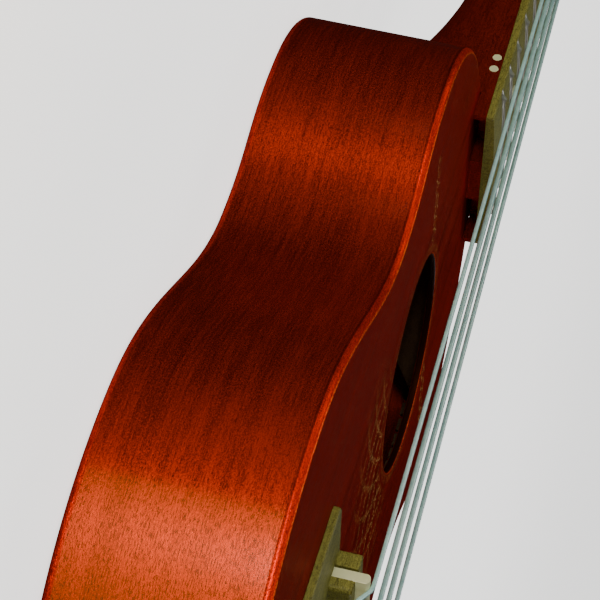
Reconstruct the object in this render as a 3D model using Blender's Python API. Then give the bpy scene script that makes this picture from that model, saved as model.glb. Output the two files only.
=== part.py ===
"""Four-string acoustic bass ukulele with a flat-top waisted body, lying on its flat back.

Plan axes used while modelling: +X towards the treble side, +Y from the tail to the headstock,
+Z out of the soundboard, with z = 0 on the soundboard's face and y = 0 at the tail.
The empty called instrument tilts that plan so that the back lies flat on z = 0.
"""
import math

import bmesh
import bpy
from mathutils import Matrix, Vector

MM = 0.001
GAP = 0.3 * MM

# Body
BODY_LENGTH = 353.8 * MM
UPPER_BOUT = (97.8 * MM, 279.7 * MM)
WAIST = (84.4 * MM, 217.8 * MM)
LOWER_BOUT = (127.4 * MM, 107.3 * MM)
TAIL_DEPTH = 65.6 * MM
DEPTH_TAPER = 0.0182
TOP_THICKNESS = 2.6 * MM
BACK_THICKNESS = 2.8 * MM
SIDE_THICKNESS = 2.3 * MM
LINING_WIDTH = 5.5 * MM
LINING_HEIGHT = 9 * MM
HOLE_Y = 243.3 * MM
HOLE_RADIUS = 38.9 * MM
ROSETTE_INNER = 44.0 * MM
ROSETTE_OUTER = 52.0 * MM
ROSETTE_DEPTH = 0.8 * MM
NECK_BLOCK_HALF = 30 * MM
NECK_BLOCK_Y = 311 * MM
TAIL_BLOCK_HALF = 27 * MM
TAIL_BLOCK_DEPTH = 15 * MM
RIB_SLOT_HALF = 4 * MM
REST_Y = 160 * MM

# Braces
BRACE_WIDTH = 8 * MM
BRACE_HEIGHT = 11 * MM
FAN_WIDTH = 6 * MM
FAN_HEIGHT = 8 * MM
PATCH = (55 * MM, 92 * MM, 129 * MM, 2.5 * MM)

# Strings
SCALE = 494 * MM
SADDLE_Y = 119 * MM
SADDLE_STRING_Z = 15.8 * MM
NUT_STRING_Z = 6.7 * MM
SADDLE_SPREAD = (37.6 * MM, 11.7 * MM)
NUT_SPREAD = (18.1 * MM, 6.3 * MM)
STRING_RADII = {"e": 0.78 * MM, "a": 0.95 * MM, "d": 0.93 * MM, "g": 0.86 * MM}
ANCHOR_Y = 100 * MM
ANCHOR_RADIUS = 1.7 * MM

# Bridge and saddle
BRIDGE_HALF = 63.8 * MM
BRIDGE_Y = (87 * MM, 128.6 * MM)
WING_HEIGHT = 2.6 * MM
BLOCK_HALF = 41.5 * MM
BLOCK_Y = (112.5 * MM, 128.2 * MM)
BLOCK_HEIGHT = 10.3 * MM
SADDLE_HALF = 41.3 * MM
SADDLE_THICKNESS = 4.0 * MM

# Neck, fingerboard and headstock
NUT_Y = SADDLE_Y + SCALE
NUT_THICKNESS = 5 * MM
BOARD_END_Y = 336 * MM
BOARD_THICKNESS = 4.0 * MM
NECK_TOP_Z = 4.6 * MM
NECK_SLOPE = 0.0145
BOARD_HALF = (33.5 * MM, 21.8 * MM)
NECK_THICKNESS = (24 * MM, 19 * MM)
HEEL_DEPTH = 60.4 * MM
HEEL_LENGTH = 104 * MM
HEEL_CURVE = 2.67
HEEL_TAPER = 0.27
OCTAVE_Y = SADDLE_Y + SCALE / 2
SIDE_DOTS = (OCTAVE_Y - 3.2 * MM, OCTAVE_Y + 3.2 * MM)
SIDE_DOT_RADIUS = 1.7 * MM
SIDE_DOT_DROP = 2.5 * MM
HEAD_TILT = math.radians(9)
HEAD_LENGTH = 150 * MM
HEAD_THICKNESS = 13 * MM
HEAD_PLATE = 1.5 * MM
BOLT_HEIGHTS = (-14 * MM, -30 * MM)

# Tuning machines, in the headstock's own frame
POST_PLACES = {
    "e": (-22 * MM, 40 * MM),
    "a": (-22 * MM, 98 * MM),
    "d": (22 * MM, 98 * MM),
    "g": (22 * MM, 40 * MM),
}
POST_RADIUS = 3.6 * MM
POST_TOP = 15 * MM
COIL_TOP = 10.2 * MM
COIL_TURNS = 2.4
BUSHING_RADIUS = 6.5 * MM
BUSHING_BARREL = 4.5 * MM
GEAR_TEETH = 12
GEAR_TIP = 6.4 * MM
GEAR_HALF = 2.2 * MM
WORM_OFFSET = 9.2 * MM
WORM_CREST = 2.4 * MM
WORM_SHAFT = 1.8 * MM
HOUSING_X = (-9 * MM, 12.2 * MM)
HOUSING_Y = (-8.6 * MM, 13.6 * MM)
HOUSING_DEPTH = 10.5 * MM
EAR_Y = (-17.5 * MM, 22.5 * MM)
SCREW_Y = (-13 * MM, 18 * MM)
SCREW_HOLE = 1.4 * MM
BUTTON_START = 38.5 * MM

WOOD = {
    "mahogany": ((0.30, 0.055, 0.012), 0.42),
    "dark_mahogany": ((0.10, 0.018, 0.006), 0.45),
    "spruce": ((0.62, 0.42, 0.22), 0.70),
    "olive_wood": ((0.20, 0.18, 0.05), 0.50),
}


def material(name, color, roughness, metallic=0.0):
    made = bpy.data.materials.new(name)
    made.use_nodes = True
    shader = made.node_tree.nodes["Principled BSDF"]
    shader.inputs["Base Color"].default_value = (*color, 1.0)
    shader.inputs["Roughness"].default_value = roughness
    shader.inputs["Metallic"].default_value = metallic
    made.diffuse_color = (*color, 1.0)
    return made


def wood(name, kind):
    color, roughness = WOOD[kind]
    return material(name, color, roughness)


def add(name, mesh_source, look, parent, smooth=False):
    """Makes an object from a bmesh, in its parent's frame."""
    bmesh.ops.recalc_face_normals(mesh_source, faces=mesh_source.faces)
    mesh = bpy.data.meshes.new(name)
    mesh_source.to_mesh(mesh)
    mesh_source.free()
    made = bpy.data.objects.new(name, mesh)
    made.parent = parent
    bpy.context.collection.objects.link(made)
    if look:
        mesh.materials.append(look)
    if smooth:
        mesh.shade_smooth()
        mesh.set_sharp_from_angle(angle=math.radians(35))
    return made


def cut(target, cutter, operation="DIFFERENCE"):
    """Cuts target with cutter, or joins the two."""
    cutter.hide_render = True
    cutter.display_type = "WIRE"
    step = target.modifiers.new(cutter.name, "BOOLEAN")
    step.operation = operation
    step.solver = "EXACT"
    step.object = cutter
    return step


def apply_modifiers(target):
    """Makes the modifiers' result the object's own mesh, and removes their cutters."""
    cutters = [step.object for step in target.modifiers if step.type == "BOOLEAN"]
    view = bpy.context.evaluated_depsgraph_get()
    mesh = bpy.data.meshes.new_from_object(target.evaluated_get(view))
    target.modifiers.clear()
    target.data = mesh
    for cutter in cutters:
        bpy.data.objects.remove(cutter)


def dress(target, look):
    """Gives a finished object its one material."""
    target.data.materials.clear()
    target.data.materials.append(look)
    for face in target.data.polygons:
        face.material_index = 0


# Shapes

def box(low, high):
    made = bmesh.new()
    bmesh.ops.create_cube(made, size=1.0)
    size = Vector(high) - Vector(low)
    middle = (Vector(high) + Vector(low)) / 2
    bmesh.ops.scale(made, vec=size, verts=made.verts)
    bmesh.ops.translate(made, vec=middle, verts=made.verts)
    return made


def prism(loop, low, high):
    """A plan outline extruded between two heights; each height is a number or a function of y."""
    made = bmesh.new()
    rings = []
    for height in (low, high):
        z_at = height if callable(height) else (lambda y, z=height: z)
        rings.append([made.verts.new((x, y, z_at(y))) for x, y in loop])
    made.faces.new(list(reversed(rings[0])))
    made.faces.new(rings[1])
    count = len(loop)
    for i in range(count):
        j = (i + 1) % count
        made.faces.new((rings[0][i], rings[0][j], rings[1][j], rings[1][i]))
    return made


def band(outer, inner, low, high):
    """A curved wall between two open plan lines."""
    made = bmesh.new()
    rows = []
    for (x0, y0), (x1, y1) in zip(outer, inner):
        rows.append([
            made.verts.new((x0, y0, low(y0))),
            made.verts.new((x0, y0, high(y0))),
            made.verts.new((x1, y1, high(y1))),
            made.verts.new((x1, y1, low(y1))),
        ])
    for here, after in zip(rows, rows[1:]):
        for i in range(4):
            j = (i + 1) % 4
            made.faces.new((here[i], here[j], after[j], after[i]))
    made.faces.new(rows[0])
    made.faces.new(list(reversed(rows[-1])))
    return made


def side_profile(loop, x0, x1):
    """An outline of (y, z) points extruded from x0 to x1."""
    made = bmesh.new()
    rings = [[made.verts.new((x, y, z)) for y, z in loop] for x in (x0, x1)]
    made.faces.new(rings[0])
    made.faces.new(list(reversed(rings[1])))
    count = len(loop)
    for i in range(count):
        j = (i + 1) % count
        made.faces.new((rings[0][i], rings[0][j], rings[1][j], rings[1][i]))
    return made


def cross_profile(loop, y0, y1):
    """An outline of (x, z) points extruded from y0 to y1."""
    made = side_profile(loop, y0, y1)
    for vertex in made.verts:
        vertex.co = (vertex.co.y, vertex.co.x, vertex.co.z)
    return made


def turned(profile, segments=24):
    """A solid of revolution about z; the profile is (radius, z) points, closed on the axis."""
    made = bmesh.new()
    rings = []
    for radius, z in profile:
        if radius == 0:
            rings.append([made.verts.new((0, 0, z))])
            continue
        angles = [2 * math.pi * k / segments for k in range(segments)]
        rings.append([made.verts.new((radius * math.cos(a), radius * math.sin(a), z)) for a in angles])
    for here, after in zip(rings, rings[1:]):
        for k in range(segments):
            n = (k + 1) % segments
            if len(here) == 1:
                made.faces.new((here[0], after[k], after[n]))
            elif len(after) == 1:
                made.faces.new((here[k], after[0], here[n]))
            else:
                made.faces.new((here[k], after[k], after[n], here[n]))
    return made


def ring(inner, outer, low, high, segments=24):
    """A flat ring about z."""
    return turned_ring(((inner, low), (outer, low), (outer, high), (inner, high)), segments)


def turned_ring(corners, segments=24):
    """A ring about z whose section is a closed loop of (radius, z) corners."""
    made = bmesh.new()
    rings = []
    for radius, z in corners:
        angles = [2 * math.pi * k / segments for k in range(segments)]
        rings.append([made.verts.new((radius * math.cos(a), radius * math.sin(a), z)) for a in angles])
    for i in range(len(corners)):
        here, after = rings[i], rings[(i + 1) % len(corners)]
        for k in range(segments):
            n = (k + 1) % segments
            made.faces.new((here[k], after[k], after[n], here[n]))
    return made


def cylinder(radius, low, high, segments=20):
    return turned([(0, low), (radius, low), (radius, high), (0, high)], segments)


def moved(shape, place):
    """Applies a matrix, or a move, to a bmesh."""
    matrix = place if isinstance(place, Matrix) else Matrix.Translation(place)
    bmesh.ops.transform(shape, matrix=matrix, verts=shape.verts)
    return shape


def together(shapes):
    """One bmesh that holds several separate solids."""
    whole = bmesh.new()
    for shape in shapes:
        bmesh.ops.recalc_face_normals(shape, faces=shape.faces)
        piece = bpy.data.meshes.new("piece")
        shape.to_mesh(piece)
        shape.free()
        whole.from_mesh(piece)
        bpy.data.meshes.remove(piece)
    return whole


# Plan outline of the body

def bezier(p0, p1, p2, p3, steps):
    """Points and outward normals along one curve, without its last point."""
    line = []
    for k in range(steps):
        t = k / steps
        s = 1 - t
        point = p0 * s ** 3 + 3 * p1 * s * s * t + 3 * p2 * s * t * t + p3 * t ** 3
        along = 3 * (p1 - p0) * s * s + 6 * (p2 - p1) * s * t + 3 * (p3 - p2) * t * t
        along.normalize()
        line.append((point, Vector((-along.y, along.x))))
    return line


def half_outline():
    """The treble half, from the neck end's centre round to the tail's centre."""
    neck = Vector((0, BODY_LENGTH))
    upper = Vector(UPPER_BOUT)
    waist = Vector(WAIST)
    lower = Vector(LOWER_BOUT)
    tail = Vector((0, 0))
    across = Vector((1, 0))
    along = Vector((0, 1))
    line = bezier(neck, neck + across * 44.2 * MM, upper + along * 43.7 * MM, upper, 14)
    line += bezier(upper, upper - along * 31.8 * MM, waist + along * 30.5 * MM, waist, 8)
    line += bezier(waist, waist - along * 32.2 * MM, lower + along * 41.2 * MM, lower, 11)
    line += bezier(lower, lower - along * 61.1 * MM, tail + across * 83.4 * MM, tail, 15)
    line.append((tail, Vector((0, -1))))
    return line


def trimmed(line, neck_x, tail_x):
    """Drops the outline's ends near the centre line, and ends it exactly at neck_x and tail_x."""
    split = max(range(len(line)), key=lambda i: line[i][0].x)
    result = []
    for limit, part in ((neck_x, line[:split]), (tail_x, line[:split - 1:-1])):
        kept = [entry for entry in part if entry[0].x > limit + 0.5 * MM]
        first = part[len(part) - len(kept) - 1]
        share = (limit - first[0].x) / (kept[0][0].x - first[0].x)
        point = first[0].lerp(kept[0][0], share)
        normal = first[1].lerp(kept[0][1], share).normalized()
        result.append([(point, normal)] + kept)
    return result[0] + result[1][::-1]


def offset(line, distance, side):
    """Plan points at a distance inside the outline; side is 1 for treble and -1 for bass."""
    return [((p.x - n.x * distance) * side, p.y - n.y * distance) for p, n in line]


def full_loop(distance):
    """The whole outline, anticlockwise from above."""
    treble = offset(half_outline(), distance, 1)
    bass = offset(half_outline(), distance, -1)
    return treble[::-1] + bass[1:-1]


def half_width(y):
    """The body's half width at one place along it."""
    line = half_outline()
    for (p, _), (q, _) in zip(line, line[1:]):
        if q.y <= y <= p.y:
            return p.x + (q.x - p.x) * (p.y - y) / (p.y - q.y)
    return 0.0


# Heights

def back_outside(y):
    return -(TAIL_DEPTH - DEPTH_TAPER * y)


def back_inside(y):
    return back_outside(y) + BACK_THICKNESS


def neck_top(y):
    """The surface that the fingerboard is glued to."""
    return NECK_TOP_Z - NECK_SLOPE * (y - BOARD_END_Y)


def board_half(y):
    share = (y - BOARD_END_Y) / (NUT_Y - BOARD_END_Y)
    return BOARD_HALF[0] + (BOARD_HALF[1] - BOARD_HALF[0]) * share


def string_place(name):
    """Where a string crosses the saddle and the nut."""
    index = "eadg".index(name)
    side = -1 if index < 2 else 1
    which = 0 if index in (0, 3) else 1
    saddle = Vector((side * SADDLE_SPREAD[which], SADDLE_Y, SADDLE_STRING_Z))
    nut = Vector((side * NUT_SPREAD[which], NUT_Y, NUT_STRING_Z))
    return saddle, nut


# Frames

for old in list(bpy.data.objects):
    bpy.data.objects.remove(old)

instrument = bpy.data.objects.new("instrument", None)
bpy.context.collection.objects.link(instrument)
back_tilt = Matrix.Rotation(-math.atan(DEPTH_TAPER), 4, "X")
rest_point = Vector((0, REST_Y, back_outside(REST_Y)))
instrument.rotation_euler = (-math.atan(DEPTH_TAPER), 0, 0)
instrument.location = -(back_tilt @ rest_point)

headstock = bpy.data.objects.new("headstock_frame", None)
bpy.context.collection.objects.link(headstock)
headstock.parent = instrument
headstock.rotation_euler = (-HEAD_TILT - math.atan(NECK_SLOPE), 0, 0)
HEAD_START = Vector((0, NUT_Y + NUT_THICKNESS + GAP, neck_top(NUT_Y) - 0.4 * MM))
headstock.location = HEAD_START
HEAD_MATRIX = Matrix.Translation(HEAD_START) @ Matrix.Rotation(headstock.rotation_euler[0], 4, "X")
BACK_FACE = -HEAD_PLATE - GAP - HEAD_THICKNESS
WORM_Z = BACK_FACE - GAP - HOUSING_DEPTH / 2


# Body shell

def make_soundboard():
    board = add("soundboard", prism(full_loop(0), -TOP_THICKNESS, 0), wood("top_wood", "mahogany"), instrument)
    centre = (0, HOLE_Y, 0)
    hole = moved(cylinder(HOLE_RADIUS, -10 * MM, 10 * MM, 48), centre)
    cut(board, add("hole_cutter", hole, None, instrument))
    channel = ring(ROSETTE_INNER, ROSETTE_OUTER, -ROSETTE_DEPTH - GAP, 5 * MM, 48)
    cut(board, add("channel_cutter", moved(channel, centre), None, instrument))
    cut(board, add("anchor_cutter", anchor_holes(), None, instrument))
    apply_modifiers(board)
    inlay = ring(ROSETTE_INNER + GAP, ROSETTE_OUTER - GAP, -ROSETTE_DEPTH, 0, 48)
    add("rosette", moved(inlay, centre), material("rosette_inlay", (0.45, 0.28, 0.08), 0.4), instrument)


def anchor_holes():
    """The four holes that take the strings down through bridge, soundboard and patch."""
    shapes = []
    for name in STRING_RADII:
        saddle, _ = string_place(name)
        shapes.append(moved(cylinder(ANCHOR_RADIUS, -30 * MM, 30 * MM, 12), (saddle.x, ANCHOR_Y, 0)))
    return together(shapes)


def make_back():
    shell = prism(full_loop(0), back_outside, back_inside)
    add("back_plate", shell, wood("back_wood", "mahogany"), instrument)


def make_sides():
    line = trimmed(half_outline(), RIB_SLOT_HALF, RIB_SLOT_HALF)
    for name, side in (("bass", -1), ("treble", 1)):
        wall = band(
            offset(line, 0, side),
            offset(line, SIDE_THICKNESS, side),
            lambda y: back_inside(y) + GAP,
            lambda y: -TOP_THICKNESS - GAP,
        )
        add(f"side_{name}", wall, wood(f"side_wood_{name}", "mahogany"), instrument, smooth=True)


def make_linings():
    line = trimmed(half_outline(), 34 * MM, 31 * MM)
    line = line[::2] + line[-1:]
    near = SIDE_THICKNESS + 3 * GAP
    far = near + LINING_WIDTH
    for name, side in (("bass", -1), ("treble", 1)):
        top = band(
            offset(line, near, side),
            offset(line, far, side),
            lambda y: -TOP_THICKNESS - GAP - LINING_HEIGHT,
            lambda y: -TOP_THICKNESS - GAP,
        )
        add(f"lining_top_{name}", top, wood(f"lining_top_{name}", "spruce"), instrument)
        back = band(
            offset(line, near, side),
            offset(line, far, side),
            lambda y: back_inside(y) + GAP,
            lambda y: back_inside(y) + GAP + LINING_HEIGHT,
        )
        add(f"lining_back_{name}", back, wood(f"lining_back_{name}", "spruce"), instrument)


def block_loop(end, half, inner_y):
    """A block's plan: its outer face follows the inside of the sides."""
    line = offset(half_outline(), SIDE_THICKNESS + GAP, 1)
    if end == "tail":
        line = line[::-1]
    arc = [point for point in line[:12] if point[0] < half]
    (xa, ya), (xb, yb) = line[len(arc) - 1], line[len(arc)]
    arc.append((half, ya + (yb - ya) * (half - xa) / (xb - xa)))
    mirrored = [(-x, y) for x, y in arc[:0:-1]]
    return [(-half, inner_y)] + mirrored + arc + [(half, inner_y)]


def make_blocks():
    low = lambda y: back_inside(y) + GAP
    high = -TOP_THICKNESS - GAP
    neck_plan = block_loop("neck", NECK_BLOCK_HALF, NECK_BLOCK_Y)
    block = add("neck_block", prism(neck_plan, low, high), wood("neck_block", "mahogany"), instrument)
    cut(block, add("bolt_hole_cutter", bolt_cylinders(3.2 * MM, 290 * MM, 380 * MM), None, instrument))
    apply_modifiers(block)
    tail_plan = block_loop("tail", TAIL_BLOCK_HALF, SIDE_THICKNESS + GAP + TAIL_BLOCK_DEPTH)
    add("tail_block", prism(tail_plan, low, high), wood("tail_block", "mahogany"), instrument)
    half = RIB_SLOT_HALF - GAP
    graft = [(half, 0), (half, SIDE_THICKNESS), (-half, SIDE_THICKNESS), (-half, 0)]
    add("end_graft", prism(graft, low, high), wood("end_graft", "dark_mahogany"), instrument)


def bolt_cylinders(radius, y0, y1):
    turn = Matrix.Rotation(math.radians(-90), 4, "X")
    shapes = []
    for z in BOLT_HEIGHTS:
        place = Matrix.Translation((0, 0, z)) @ turn
        shapes.append(moved(cylinder(radius, y0, y1, 16), place))
    return together(shapes)


def make_neck_bolts():
    """Two flanged socket bolts that pull the heel against the body."""
    turn = Matrix.Rotation(math.radians(-90), 4, "X")
    seat = NECK_BLOCK_Y - GAP
    for name, z in zip(("upper", "lower"), BOLT_HEIGHTS):
        profile = [(0, seat - 4 * MM), (1.6 * MM, seat - 4 * MM), (1.6 * MM, seat - 7 * MM)]
        profile += [(4.6 * MM, seat - 7 * MM), (4.6 * MM, seat - 1.5 * MM), (6.5 * MM, seat - 1.5 * MM)]
        profile += [(6.5 * MM, seat), (2.7 * MM, seat), (2.7 * MM, 362 * MM), (0, 362 * MM)]
        steel = material(f"neck_bolt_{name}", (0.5, 0.5, 0.5), 0.3, 1.0)
        bolt = add(f"neck_bolt_{name}", turned(profile, 16), steel, instrument, smooth=True)
        bolt.matrix_local = Matrix.Translation((0, 0, z)) @ turn


# Braces

def transverse_brace(name, y, top_side):
    """A straight brace across the body, under the top or on the back, with tapered ends."""
    half = min(half_width(y - BRACE_WIDTH), half_width(y + BRACE_WIDTH))
    half -= SIDE_THICKNESS + LINING_WIDTH + 2.5 * MM
    taper = 22 * MM
    flat = [(half, 0), (half, 2.5 * MM), (half - taper, BRACE_HEIGHT)]
    flat += [(taper - half, BRACE_HEIGHT), (-half, 2.5 * MM), (-half, 0)]
    shape = cross_profile(flat, y - BRACE_WIDTH / 2, y + BRACE_WIDTH / 2)
    for vertex in shape.verts:
        if top_side:
            vertex.co.z = -TOP_THICKNESS - GAP - vertex.co.z
        else:
            vertex.co.z = back_inside(vertex.co.y) + GAP + vertex.co.z
    add(name, shape, wood(name, "spruce"), instrument)


def fan_brace(name, x):
    """A brace along the lower bout, notched over the bridge patch."""
    low, high = 26 * MM, 182 * MM
    under = -TOP_THICKNESS - GAP
    notch = under - PATCH[3] - GAP
    deep = under - FAN_HEIGHT
    loop = [(low, under), (PATCH[1] - GAP, under), (PATCH[1] - GAP, notch)]
    loop += [(PATCH[2] + GAP, notch), (PATCH[2] + GAP, under), (high, under)]
    loop += [(high, under - 2 * MM), (high - 20 * MM, deep), (low + 20 * MM, deep), (low, under - 2 * MM)]
    add(name, side_profile(loop, x - FAN_WIDTH / 2, x + FAN_WIDTH / 2), wood(name, "spruce"), instrument)


def make_braces():
    transverse_brace("top_brace_upper", 297 * MM, True)
    transverse_brace("top_brace_lower", 190 * MM, True)
    for name, x in (("bass", -24 * MM), ("centre", 0), ("treble", 24 * MM)):
        fan_brace(f"fan_brace_{name}", x)
    under = -TOP_THICKNESS - GAP
    patch = box((-PATCH[0], PATCH[1], under - PATCH[3]), (PATCH[0], PATCH[2], under))
    patch = add("bridge_patch", patch, wood("bridge_patch", "mahogany"), instrument)
    cut(patch, add("patch_cutter", anchor_holes(), None, instrument))
    apply_modifiers(patch)
    places = (("upper", 287 * MM), ("waist", 205 * MM), ("lower", 100 * MM))
    for name, y in places:
        transverse_brace(f"back_brace_{name}", y, False)


# Neck

def neck_depth(y):
    """How far the neck reaches below the fingerboard's glue face: deep at the heel, then slim."""
    share = min(1.0, max(0.0, (y - BODY_LENGTH) / HEEL_LENGTH))
    slim = NECK_THICKNESS[0] + (NECK_THICKNESS[1] - NECK_THICKNESS[0]) * (y - BODY_LENGTH) / (NUT_Y - BODY_LENGTH)
    return slim + (HEEL_DEPTH - slim) * (1 - share) ** HEEL_CURVE


def neck_section(y):
    """A D-shaped section: straight cheeks, then an elliptical back that narrows where it is deep."""
    half = board_half(y) - 0.2 * MM
    top = neck_top(y)
    depth = neck_depth(y)
    cheek = 5 * MM
    points = [(half, top), (half, top - cheek)]
    steps = 9
    fullness = 1 + HEEL_TAPER * (depth - NECK_THICKNESS[1]) / HEEL_DEPTH
    for k in range(1, steps):
        a = math.pi / 2 * k / steps
        points.append((half * math.cos(a) ** fullness, top - cheek - (depth - cheek) * math.sin(a)))
    points.append((0, top - depth))
    mirrored = [(-x, z) for x, z in points[-2::-1]]
    return points + mirrored


def loft(sections):
    """A skin through equal rings of points, closed at both ends."""
    made = bmesh.new()
    rings = [[made.verts.new(point) for point in section] for section in sections]
    count = len(rings[0])
    for here, after in zip(rings, rings[1:]):
        for i in range(count):
            j = (i + 1) % count
            made.faces.new((here[i], here[j], after[j], after[i]))
    made.faces.new(list(reversed(rings[0])))
    made.faces.new(rings[-1])
    return made


def head_outline():
    """The headstock's plan in its own frame: it widens from the nut to a gently arched end."""
    narrow, wide = 22 * MM, 35 * MM
    half = [(narrow, 0)]
    for k in range(1, 7):
        t = k / 6
        half.append((narrow + (wide - narrow) * (3 * t * t - 2 * t ** 3), 4 * MM + 24 * MM * t))
    half += [(36.3 * MM, 120 * MM), (35 * MM, 134 * MM), (26 * MM, 144 * MM)]
    half += [(13 * MM, 145 * MM), (6 * MM, 149 * MM)]
    return half + [(0, HEAD_LENGTH)] + [(-x, y) for x, y in half[::-1]]


def head_face(y):
    """The height of the headstock's wood face, under its veneer."""
    lean = -headstock.rotation_euler[0]
    return HEAD_START.z - (y - HEAD_START.y) * math.tan(lean) - (HEAD_PLATE + GAP) / math.cos(lean)


def make_neck():
    stations = [BOARD_END_Y, 345 * MM]
    stations += [BODY_LENGTH + HEEL_LENGTH * k / 9 for k in range(10)]
    stations += [500 * MM, 560 * MM, NUT_Y + NUT_THICKNESS]
    sections = [[(x, y, z) for x, z in neck_section(y)] for y in stations]
    for y in (NUT_Y + NUT_THICKNESS + 0.1 * MM, NUT_Y + NUT_THICKNESS + 8 * MM):
        face = head_face(y) - 0.2 * MM
        sections.append([(x, y, min(z, face)) for x, z in neck_section(y)])
    neck = add("neck", loft(sections), None, instrument)
    head = prism(head_outline(), BACK_FACE, -HEAD_PLATE - GAP)
    cut(neck, add("head_shape", moved(head, HEAD_MATRIX), None, instrument), "UNION")
    body = prism(full_loop(-GAP), -90 * MM, GAP)
    cut(neck, add("body_cutter", body, None, instrument))
    for side in (-1, 1):
        low = min(side * 10 * MM, side * 31.3 * MM)
        high = max(side * 10 * MM, side * 31.3 * MM)
        pocket = box((low, 320 * MM, -MM), (high, 349 * MM, 10 * MM))
        cut(neck, add(f"pocket_cutter_{side}", pocket, None, instrument))
    cut(neck, add("insert_cutter", bolt_cylinders(3.0 * MM, 330 * MM, 365 * MM), None, instrument))
    cut(neck, add("side_dot_cutter", together([side_dot(y, GAP) for y in SIDE_DOTS]), None, instrument))
    posts = []
    for x, y in POST_PLACES.values():
        posts.append(moved(cylinder(BUSHING_BARREL + GAP, -40 * MM, 10 * MM, 16), (x, y, 0)))
    cut(neck, add("post_hole_cutter", moved(together(posts), HEAD_MATRIX), None, instrument))
    cut(neck, add("screw_hole_cutter", moved(screw_holes(), HEAD_MATRIX), None, instrument))
    apply_modifiers(neck)
    dress(neck, wood("neck_mahogany", "mahogany"))


def side_dot(y, clearance=0.0):
    """A round dot let into the neck's bass cheek, or its hole."""
    half = board_half(y) - 0.2 * MM
    start = half - 2 * MM - clearance
    end = half + (5 * MM if clearance else 0)
    turn = Matrix.Rotation(math.radians(-90), 4, "Y")
    place = Matrix.Translation((0, y, neck_top(y) - SIDE_DOT_DROP)) @ turn
    return moved(cylinder(SIDE_DOT_RADIUS + clearance, start, end, 12), place)


def make_fingerboard():
    y0, y1 = BOARD_END_Y, NUT_Y - GAP
    loop = [(board_half(y0), y0), (board_half(y1), y1), (-board_half(y1), y1), (-board_half(y0), y0)]
    low = lambda y: neck_top(y) + GAP
    high = lambda y: neck_top(y) + GAP + BOARD_THICKNESS
    add("fingerboard", prism(loop, low, high), wood("fingerboard", "olive_wood"), instrument)
    for name, y in zip(("near", "far"), SIDE_DOTS):
        add(f"side_dot_{name}", side_dot(y), material(f"side_dot_{name}", (0.75, 0.70, 0.55), 0.4), instrument)


def make_nut():
    y0 = NUT_Y
    z0 = neck_top(y0) + GAP
    half = board_half(y0)
    low = (-half, y0, z0)
    high = (half, y0 + NUT_THICKNESS - GAP, NUT_STRING_Z + 0.5 * MM)
    nut = add("nut", box(low, high), material("nut_bone", (0.80, 0.74, 0.58), 0.35), instrument)
    slots = []
    for name, radius in STRING_RADII.items():
        _, place = string_place(name)
        width = radius + GAP
        base = NUT_STRING_Z - radius - GAP
        corner = (place.x - width, y0 - MM, base)
        slot = box(corner, (place.x + width, y0 + 10 * MM, base + 9 * MM))
        for vertex in slot.verts:
            if vertex.co.y > y0 and vertex.co.z < base + MM:
                vertex.co.z -= 1.2 * MM
        slots.append(slot)
    cut(nut, add("nut_slot_cutter", together(slots), None, instrument))
    apply_modifiers(nut)


def make_headstock_plate():
    start = 1.5 * MM
    outline = [(x, max(y, start)) for x, y in head_outline()]
    plate = add("headstock_plate", prism(outline, -HEAD_PLATE, 0), wood("head_veneer", "dark_mahogany"), headstock)
    holes = []
    for x, y in POST_PLACES.values():
        holes.append(moved(cylinder(BUSHING_BARREL + GAP, -9 * MM, 9 * MM, 16), (x, y, 0)))
    cut(plate, add("plate_cutter", together(holes), None, headstock))
    apply_modifiers(plate)


# Bridge

def make_bridge():
    y0, y1 = BRIDGE_Y
    corner = 4 * MM
    loop = []
    for cx, cy, start in ((1, 1, 0), (-1, 1, 90), (-1, -1, 180), (1, -1, 270)):
        mx = cx * (BRIDGE_HALF - corner)
        my = (y1 - corner) if cy > 0 else (y0 + corner)
        for k in range(4):
            a = math.radians(start + 30 * k)
            loop.append((mx + corner * math.cos(a), my + corner * math.sin(a)))
    bridge = add("bridge", prism(loop, GAP, WING_HEIGHT), None, instrument)
    low = (-BLOCK_HALF, BLOCK_Y[0], MM)
    block = box(low, (BLOCK_HALF, BLOCK_Y[1], BLOCK_HEIGHT))
    for vertex in block.verts:
        if vertex.co.y < SADDLE_Y and vertex.co.z < 5 * MM:
            vertex.co.y -= 3 * MM
    cut(bridge, add("block_shape", block, None, instrument), "UNION")
    wall = SADDLE_THICKNESS / 2 + GAP
    reach = BLOCK_HALF + GAP
    slot = box((-reach, SADDLE_Y - wall, WING_HEIGHT - 0.4 * MM), (reach, SADDLE_Y + wall, 20 * MM))
    cut(bridge, add("slot_cutter", slot, None, instrument))
    cut(bridge, add("bridge_hole_cutter", anchor_holes(), None, instrument))
    apply_modifiers(bridge)
    dress(bridge, wood("bridge_olive", "olive_wood"))
    half = SADDLE_THICKNESS / 2
    base = WING_HEIGHT - 0.4 * MM + GAP
    crown = SADDLE_STRING_Z - max(STRING_RADII.values()) - GAP
    profile = [(SADDLE_Y - half, base), (SADDLE_Y + half, base), (SADDLE_Y + half, crown - 1.2 * MM)]
    profile += [(SADDLE_Y + 0.5 * half, crown), (SADDLE_Y - 0.5 * half, crown)]
    profile += [(SADDLE_Y - half, crown - 1.2 * MM)]
    bone = material("saddle_bone", (0.80, 0.74, 0.58), 0.35)
    add("saddle", side_profile(profile, -SADDLE_HALF, SADDLE_HALF), bone, instrument)


# Strings

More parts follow.
